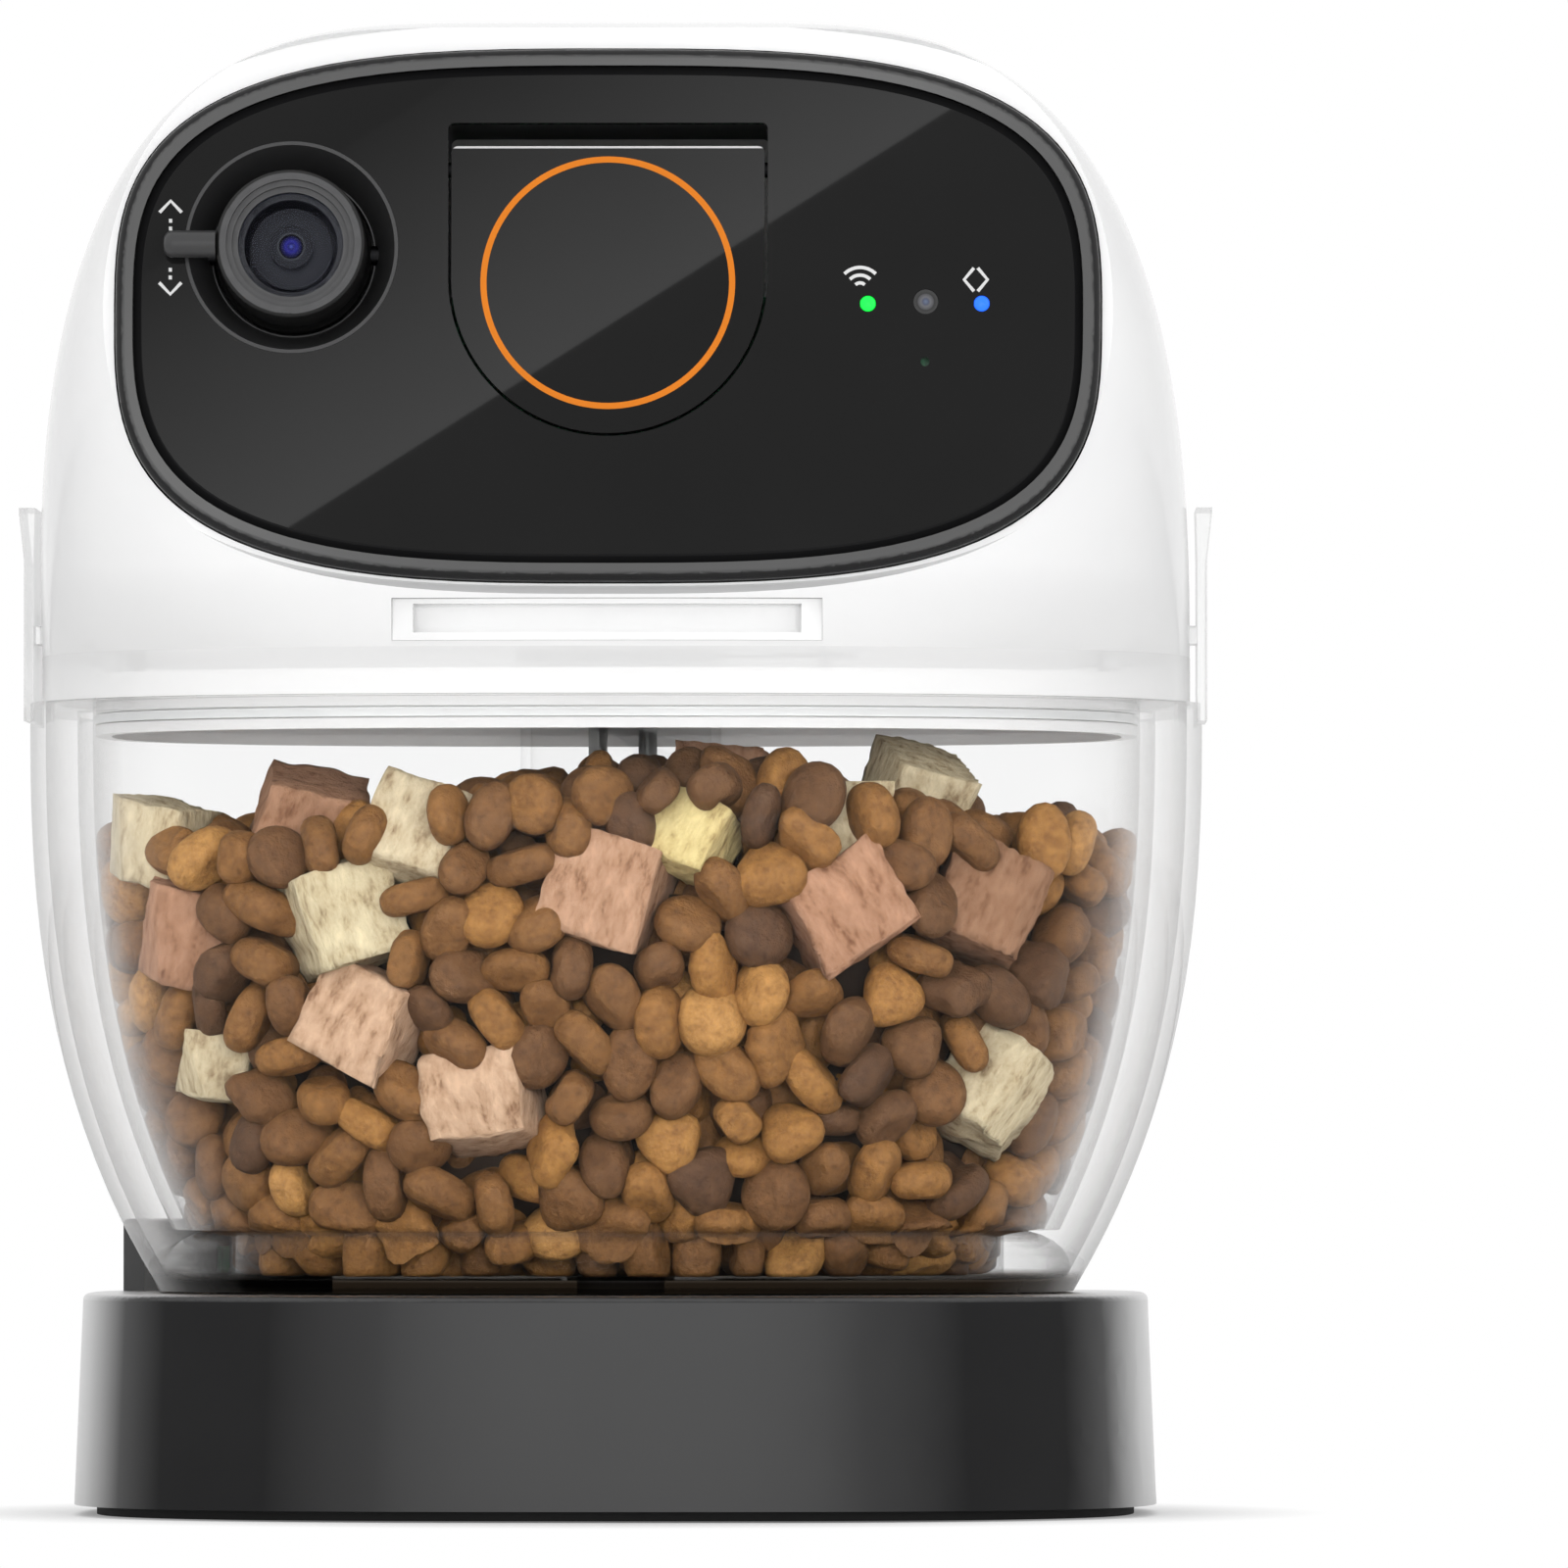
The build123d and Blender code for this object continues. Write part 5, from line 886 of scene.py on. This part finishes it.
def make_icons():
    """Generic signs for the wireless link and the app, tilt arrows, and the printed dots."""
    ink = plastic("white_print", (0.66, 0.66, 0.66), 0.4)
    link_place = (0.0388, 0.0031)
    for number, radius in enumerate((0.0034, 0.0022, 0.0010)):
        curve = arc(link_place, radius, 45, 135)
        print_on_face(f"link_sign_{number + 1}", [curve], PRINT_WIDTH, ink)
    app_place = (0.0566, 0.0046)
    half = 0.0018
    left = [(app_place[0] - 0.0003, app_place[1] + half), (app_place[0] - half, app_place[1]),
            (app_place[0] - 0.0003, app_place[1] - half)]
    right = [(2 * app_place[0] - u, v) for u, v in left]
    print_on_face("app_sign", [left, right], PRINT_WIDTH, ink)
    column = -0.0673
    for name, v, rise in (("tilt_up_sign", 0.0160, 0.0009), ("tilt_down_sign", 0.0033, -0.0009)):
        chevron = [(column - 0.0017, v - rise), (column, v + rise), (column + 0.0017, v - rise)]
        print_on_face(name, [chevron], PRINT_WIDTH, ink)
    dots = [[(column, v - 0.0003), (column, v + 0.0003)] for v in (0.0126, 0.0138, 0.0062, 0.0050)]
    print_on_face("tilt_dots", dots, 0.0005, ink)


def make_lens():
    """The small violet lens in the camera module's recess; its bright blue middle and blue ring are painted
    highlights.
    """
    centre = on_face(CAMERA_U, CAMERA_V)
    radius, foot, rise = 0.00172, -0.0001, 0.00038
    profile = [(0, foot - 0.0002)]
    for step in range(9):
        turn = math.pi / 2 * step / 8
        profile.append((radius * math.cos(turn), foot + rise * math.sin(turn)))
    profile[-1] = (0, profile[-1][1])
    n = Nodes("lens_violet")
    shader = n.add("BsdfPrincipled", Roughness=0.08, Specular_IOR_Level=0.3)
    centre_out = n.between(n.radius_from(CAMERA_U, CAMERA_V), 0, 1, 0, radius)
    # painted highlights: a bright blue middle and a paler ring halfway out
    n.link(n.ramp(centre_out, [
        (0.0, (0.10, 0.14, 0.75)), (0.25, (0.015, 0.015, 0.20)), (0.5, (0.03, 0.03, 0.42)),
        (0.75, (0.012, 0.010, 0.13)), (1.0, (0.010, 0.010, 0.03)),
    ]), shader.inputs["Base Color"])
    lens = turned("camera_lens", profile, centre, FACE_OUT, n.finish(shader.outputs["BSDF"]), "camera", 48)


def make_status_lights():
    """Two lit windows in place of the plain light pipes, which share one node."""
    back = 0.0066
    for name, u, colour in (("status_light_green", 0.040, (0.0, 0.75, 0.05)),
                            ("status_light_blue", 0.0575, (0.01, 0.12, 0.95))):
        centre = on_face(u, 0.0009)
        profile = [(0, -back), (0.0012, -back), (0.0012, -0.00045), (0.0011, -0.0003), (0, -0.00025)]
        light = turned(name, profile, centre, FACE_OUT, printed_light(name, colour, 0.85), "head", 40)
        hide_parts("status_leds")


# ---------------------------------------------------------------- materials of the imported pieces


def head_white():
    """Glossy white moulding that thins out to a milky, see-through collar low down."""
    n = Nodes("head_white")
    drift = n.ramp(n.noise(40, 3), [(0.3, (0.87, 0.87, 0.875)), (0.7, (0.90, 0.90, 0.90))])
    solid = n.add("BsdfPrincipled", Specular_IOR_Level=0.35, Coat_Weight=0.15)
    n.link(drift, solid.inputs["Base Color"])
    n.link(n.between(n.noise(120, 4), 0.12, 0.2), solid.inputs["Roughness"])
    height = n.add("SeparateXYZ")
    n.link(n.place(), height.inputs[0])
    # light soaks through the thin collar, so it glows from behind as well as in front
    milk = n.add("BsdfDiffuse", Color=(0.97, 0.97, 0.97, 1)).outputs["BSDF"]
    glow = n.add("BsdfTranslucent", Color=(0.97, 0.97, 0.97, 1)).outputs["BSDF"]
    facing = n.add("LayerWeight", Blend=0.5).outputs["Facing"]
    share = n.between(facing, 0.82, 0.97, 0.3, 0.9)
    collar = n.mix(share, n.see_through((0.99, 0.99, 0.99)), n.mix(0.12, milk, glow))
    gloss = n.add("BsdfGlossy", Color=(1, 1, 1, 1), Roughness=0.05).outputs["BSDF"]
    collar = n.shadow_free(n.mix(n.fresnel(0.02, 0.6), collar, gloss), 0.8)
    opaque = n.between(height.outputs["Z"], 0, 1, COLLAR_CLEAR_BELOW, COLLAR_SOLID_ABOVE)
    return n.finish(n.mix(opaque, collar, solid.outputs["BSDF"]))


def panel_black(name, specular=0.125, roughness=0.012, flat=0.0, highlight_from=None):
    """Deep gloss black that a white room greys only a little.

    flat is how much paler its flat parts are painted, as painted sheen. The last argument is the height on
    the face where a painted highlight along the edge starts.
    """
    n = Nodes(name)
    shader = n.add("BsdfPrincipled", Specular_IOR_Level=specular)
    drift = n.noise(30, 2)
    black = n.ramp(drift, [(0.3, (0.0080, 0.0080, 0.0085)), (0.7, (0.0100, 0.0100, 0.0103))])
    paler = n.ramp(drift, [(0.3, (0.008 + flat,) * 3), (0.7, (0.010 + flat,) * 3)])
    # painted sheen: parts facing straight out are paler than the slanting rims
    painted = n.blend(n.flatness(), black, paler)
    # painted highlight: a pale line along the edge above the given height
    if highlight_from is not None:
        edge = n.between(n.face_places()[1], 0, 1, highlight_from, highlight_from + 0.00005)
        painted = n.blend(edge, painted, (0.55, 0.55, 0.55, 1))
    n.link(painted, shader.inputs["Base Color"])
    n.link(n.between(n.noise(90, 3), roughness * 0.7, roughness * 1.4), shader.inputs["Roughness"])
    return n.finish(shader.outputs["BSDF"])


def barrel_black():
    """Satin black barrel whose flat rings are painted paler, as lit, and whose steps between them are painted
    dark, as shade.
    """
    n = Nodes("barrel_satin")
    shader = n.add("BsdfPrincipled", Specular_IOR_Level=0.3)
    rings = n.ramp(n.noise(400, 3), [(0.3, (0.062, 0.062, 0.064)), (0.7, (0.075, 0.075, 0.077))])
    # painted light and shade: parts facing straight out are paler than the steps between them
    painted = n.blend(n.flatness(0.96, 0.99), (0.010, 0.010, 0.010, 1), rings)
    n.link(painted, shader.inputs["Base Color"])
    n.link(n.between(n.noise(300, 3), 0.26, 0.38), shader.inputs["Roughness"])
    return n.finish(shader.outputs["BSDF"])


def ringed(name, centre, stops, roughness):
    """Colours in rings round an axis square to the face; stops are (radius in millimetres, colour)."""
    n = Nodes(name)
    widest = stops[-1][0]
    radius = n.between(n.radius_from(*centre), 0, 1, 0, widest * MM)
    shader = n.add("BsdfPrincipled", Specular_IOR_Level=0.4)
    n.link(n.ramp(radius, [(reach / widest, colour) for reach, colour in stops]), shader.inputs["Base Color"])
    n.link(n.between(n.noise(500, 2), roughness * 0.8, roughness * 1.2), shader.inputs["Roughness"])
    return n.finish(shader.outputs["BSDF"])


def base_satin():
    """Dark satin moulding: a faint sheen straight on, darkest beside it, and bright along its edges."""
    n = Nodes("base_satin")
    grain = n.bump(n.noise(1500, 3), 0.1, 0.00008)
    body = n.add("BsdfDiffuse", Normal=grain)
    n.link(n.ramp(n.noise(60, 4), [(0.3, (0.0105, 0.0105, 0.0110)), (0.7, (0.0125, 0.0125, 0.0130))]),
           body.inputs["Color"])
    gloss = n.add("BsdfGlossy", Color=(1, 1, 1, 1), Normal=grain)
    n.link(n.between(n.noise(180, 5), 0.26, 0.36), gloss.inputs["Roughness"])
    facing = n.add("LayerWeight", Blend=0.5).outputs["Facing"]
    share = n.ramp(facing, [(place, (amount,) * 3) for place, amount in (
        (0.0, 0.075), (0.02, 0.040), (0.09, 0.011), (0.32, 0.014), (0.52, 0.085), (0.80, 0.56), (1.0, 0.80),
    )])
    upward = n.between(n.dot(n.add("TexCoord").outputs["Normal"], (0, 0, 1)), 0, 0.07, 0.1, 0.4)
    share = n.math("MAXIMUM", share, upward)
    return n.finish(n.mix(share, body.outputs["BSDF"], gloss.outputs["BSDF"]))


def brushed(name, colour, roughness, streak_axis=2):
    """Metal with fine streaks along one axis."""
    n = Nodes(name)
    stretched = n.add("Mapping")
    n.link(n.place(), stretched.inputs["Vector"])
    scale = [2500.0, 2500.0, 2500.0]
    scale[streak_axis] = 40.0
    stretched.inputs["Scale"].default_value = scale
    streaks = n.noise(1.0, 3, 0.6, stretched.outputs["Vector"])
    shader = n.add("BsdfPrincipled", Metallic=1.0)
    n.link(n.ramp(streaks, [(0.3, [c * 0.8 for c in colour]), (0.7, colour)]), shader.inputs["Base Color"])
    n.link(n.between(streaks, roughness * 0.7, roughness * 1.3), shader.inputs["Roughness"])
    return n.finish(shader.outputs["BSDF"])


def circuit_board():
    """Green solder mask with faint tracks."""
    n = Nodes("circuit_board")
    tracks = n.add("TexWave", Scale=160.0, Distortion=6.0, Detail=3.0)
    n.link(n.place(), tracks.inputs["Vector"])
    shader = n.add("BsdfPrincipled", Roughness=0.35)
    n.link(n.ramp(tracks.outputs["Fac"], [(0.45, (0.010, 0.085, 0.035)), (0.55, (0.020, 0.140, 0.060))]),
           shader.inputs["Base Color"])
    n.link(n.bump(tracks.outputs["Fac"], 0.2, 0.00003), shader.inputs["Normal"])
    return n.finish(shader.outputs["BSDF"])


def lens_glass():
    """Coated front glass: nearly black, with a violet bloom at a slant."""
    n = Nodes("lens_glass")
    through = n.add("BsdfTransparent", Color=(0.80, 0.81, 0.84, 1)).outputs["BSDF"]
    gloss = n.add("BsdfGlossy", Color=(0.75, 0.78, 1.0, 1), Roughness=0.01).outputs["BSDF"]
    return n.finish(n.mix(n.fresnel(0.003, 0.8), through, gloss))


def dress(node, material):
    """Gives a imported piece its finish."""
    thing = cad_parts[node]
    thing.data.materials.clear()
    thing.data.materials.append(material)


def make_finishes():
    base = base_satin()
    rubber = plastic("foot_rubber", (0.012, 0.012, 0.012), 0.8, 0.05, 0.3, 900)
    # the bowl is tinted dark below its bottom edge: painted shade
    clear = clear_plastic("clear_bowl", (0.0005, 0.08, 0.50), (0.95, 0.92, 0.40),
                          painted_shade_below=(0.0372, (0.12, 0.10, 0.08)))
    liner = clear_plastic("clear_liner", (0.0005, 0.045, 0.40), (0.95, 0.92, 0.60))
    # the seat is tinted slightly darker low down: painted shade
    seat = clear_plastic("clear_seat", (0.0005, 0.04, 0.35), (0.60, 0.40, 0.20),
                         painted_shade_below=(0.0415, (0.93, 0.93, 0.93)))
    unseen = clear_plastic("clear_core", (0.0005, 0.01, 0.08), (0.95, 0.95, 0.85), gloss=(0.001, 0.1))
    collar = clear_plastic("clear_collar", (0.75, 0.80, 0.85), (0.97, 0.97, 0.86), glow=0.15)
    clip = clear_plastic("clear_clip", (0.30, 0.45, 0.8), (0.96, 0.94, 0.66), glow=0.15)
    white = plastic("white_gloss", (0.86, 0.86, 0.86), 0.18, 0.04, Specular_IOR_Level=0.4)
    milky = plastic("milky_white", (0.87, 0.87, 0.86), 0.35, 0.05)
    acetal = plastic("acetal", (0.80, 0.78, 0.73), 0.42, 0.05)
    # the bezel's paler flat front is painted sheen
    bezel = panel_black("bezel_gloss", 0.30, 0.10, flat=0.080)
    face = panel_black("face_gloss")
    # the flap's pale top edge is a painted highlight
    flap_face = panel_black("flap_gloss", highlight_from=FLAP_TOP_V - 0.00035)
    socket = plastic("socket_satin", (0.038, 0.038, 0.039), 0.30, 0.04, 0.1, 1800, Specular_IOR_Level=0.45)
    sensor = ringed("light_sensor", SENSOR_PLACE, [
        (0.0, (0.09, 0.12, 0.20)), (0.45, (0.05, 0.06, 0.10)), (0.75, (0.10, 0.10, 0.11)),
        (1.2, (0.045, 0.045, 0.05)), (1.3, (0.012, 0.012, 0.012)), (1.95, (0.03, 0.03, 0.03)),
    ], 0.2)
    module = ringed("camera_module", (CAMERA_U, CAMERA_V), [
        (0.0, (0.006, 0.006, 0.008)), (1.85, (0.010, 0.010, 0.012)), (2.0, (0.07, 0.07, 0.075)),
        (2.3, (0.012, 0.012, 0.013)), (3.3, (0.010, 0.010, 0.011)), (3.45, (0.035, 0.035, 0.037)),
        (6.3, (0.008, 0.008, 0.009)),
    ], 0.25)
    inner = plastic("inner_dark", (0.014, 0.014, 0.015), 0.5, 0.06, 0.15)
    steel = brushed("steel", (0.60, 0.61, 0.62), 0.28)
    blackened = brushed("blackened_pin", (0.030, 0.030, 0.032), 0.4)
    can = brushed("motor_can", (0.50, 0.50, 0.51), 0.34)
    bronze = brushed("bronze", (0.62, 0.42, 0.22), 0.4)
    gold = brushed("contact_gold", (0.85, 0.63, 0.28), 0.25)
    tinned = plastic("tinned_strip", (0.90, 0.90, 0.89), 0.3, 0.05, Metallic=0.15)
    orange = plastic("ring_orange", (0.68, 0.190, 0.012), 0.35, 0.05, Specular_IOR_Level=0.15)
    seal = plastic("seal_silicone", (0.72, 0.73, 0.73), 0.45, 0.05)
    finishes = {
        base: ("base_housing", "bottom_cover", "dock_post"),
        rubber: ("rubber_foot",),
        clear: ("treat_bowl",),
        liner: ("bowl_liner",),
        seat: ("liner_seat",),
        collar: ("head_floor",),
        clip: ("side_clip_left", "side_clip_right"),
        head_white(): ("head_shell",),
        white: ("top_button", "front_grip"),
        unseen: ("lift_tube", "tube_cap", "lift_screw"),
        milky: ("screw_bush", "throw_frame", "throw_arm"),
        acetal: ("feed_gear", "throw_gear"),
        bezel: ("face_bezel",),
        face: ("face_panel",),
        flap_face: ("flap",),
        socket: ("camera_socket", "tilt_lever"),
        barrel_black(): ("camera_ball",),
        sensor: ("light_sensor",),
        module: ("camera_module",),
        inner: ("launch_duct", "speaker"),
        steel: ("base_screws", "head_screws", "inner_screws", "drive_shaft", "clip_pins", "flap_spring",
                "throw_spring", "throw_shaft", "power_inlet"),
        blackened: ("flap_pin", "tilt_pins"),
        can: ("feed_motor", "throw_motor"),
        bronze: ("shaft_bushes", "throw_bushes", "feed_pinion", "throw_pinion"),
        gold: ("base_contacts",),
        tinned: ("contact_strips",),
        circuit_board(): ("power_board", "bowl_sensor", "main_board", "led_board", "button_board"),
        orange: ("flap_ring",),
        lens_glass(): ("lens_glass",),
        seal: ("rim_seal",),
    }
    for material, nodes in finishes.items():
        for node in nodes:
            dress(node, material)
    done = {node for nodes in finishes.values() for node in nodes} | {"treat_fill", "status_leds"}
    assert done == set(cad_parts), done ^ set(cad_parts)


# ---------------------------------------------------------------- the scene

make_camera()
make_world()
make_floor()
make_lights()
make_glare_card()
make_finishes()
make_treats()
make_icons()
make_lens()
make_status_lights()

scene.view_settings.view_transform = "Standard"
bpy.context.view_layer.update()
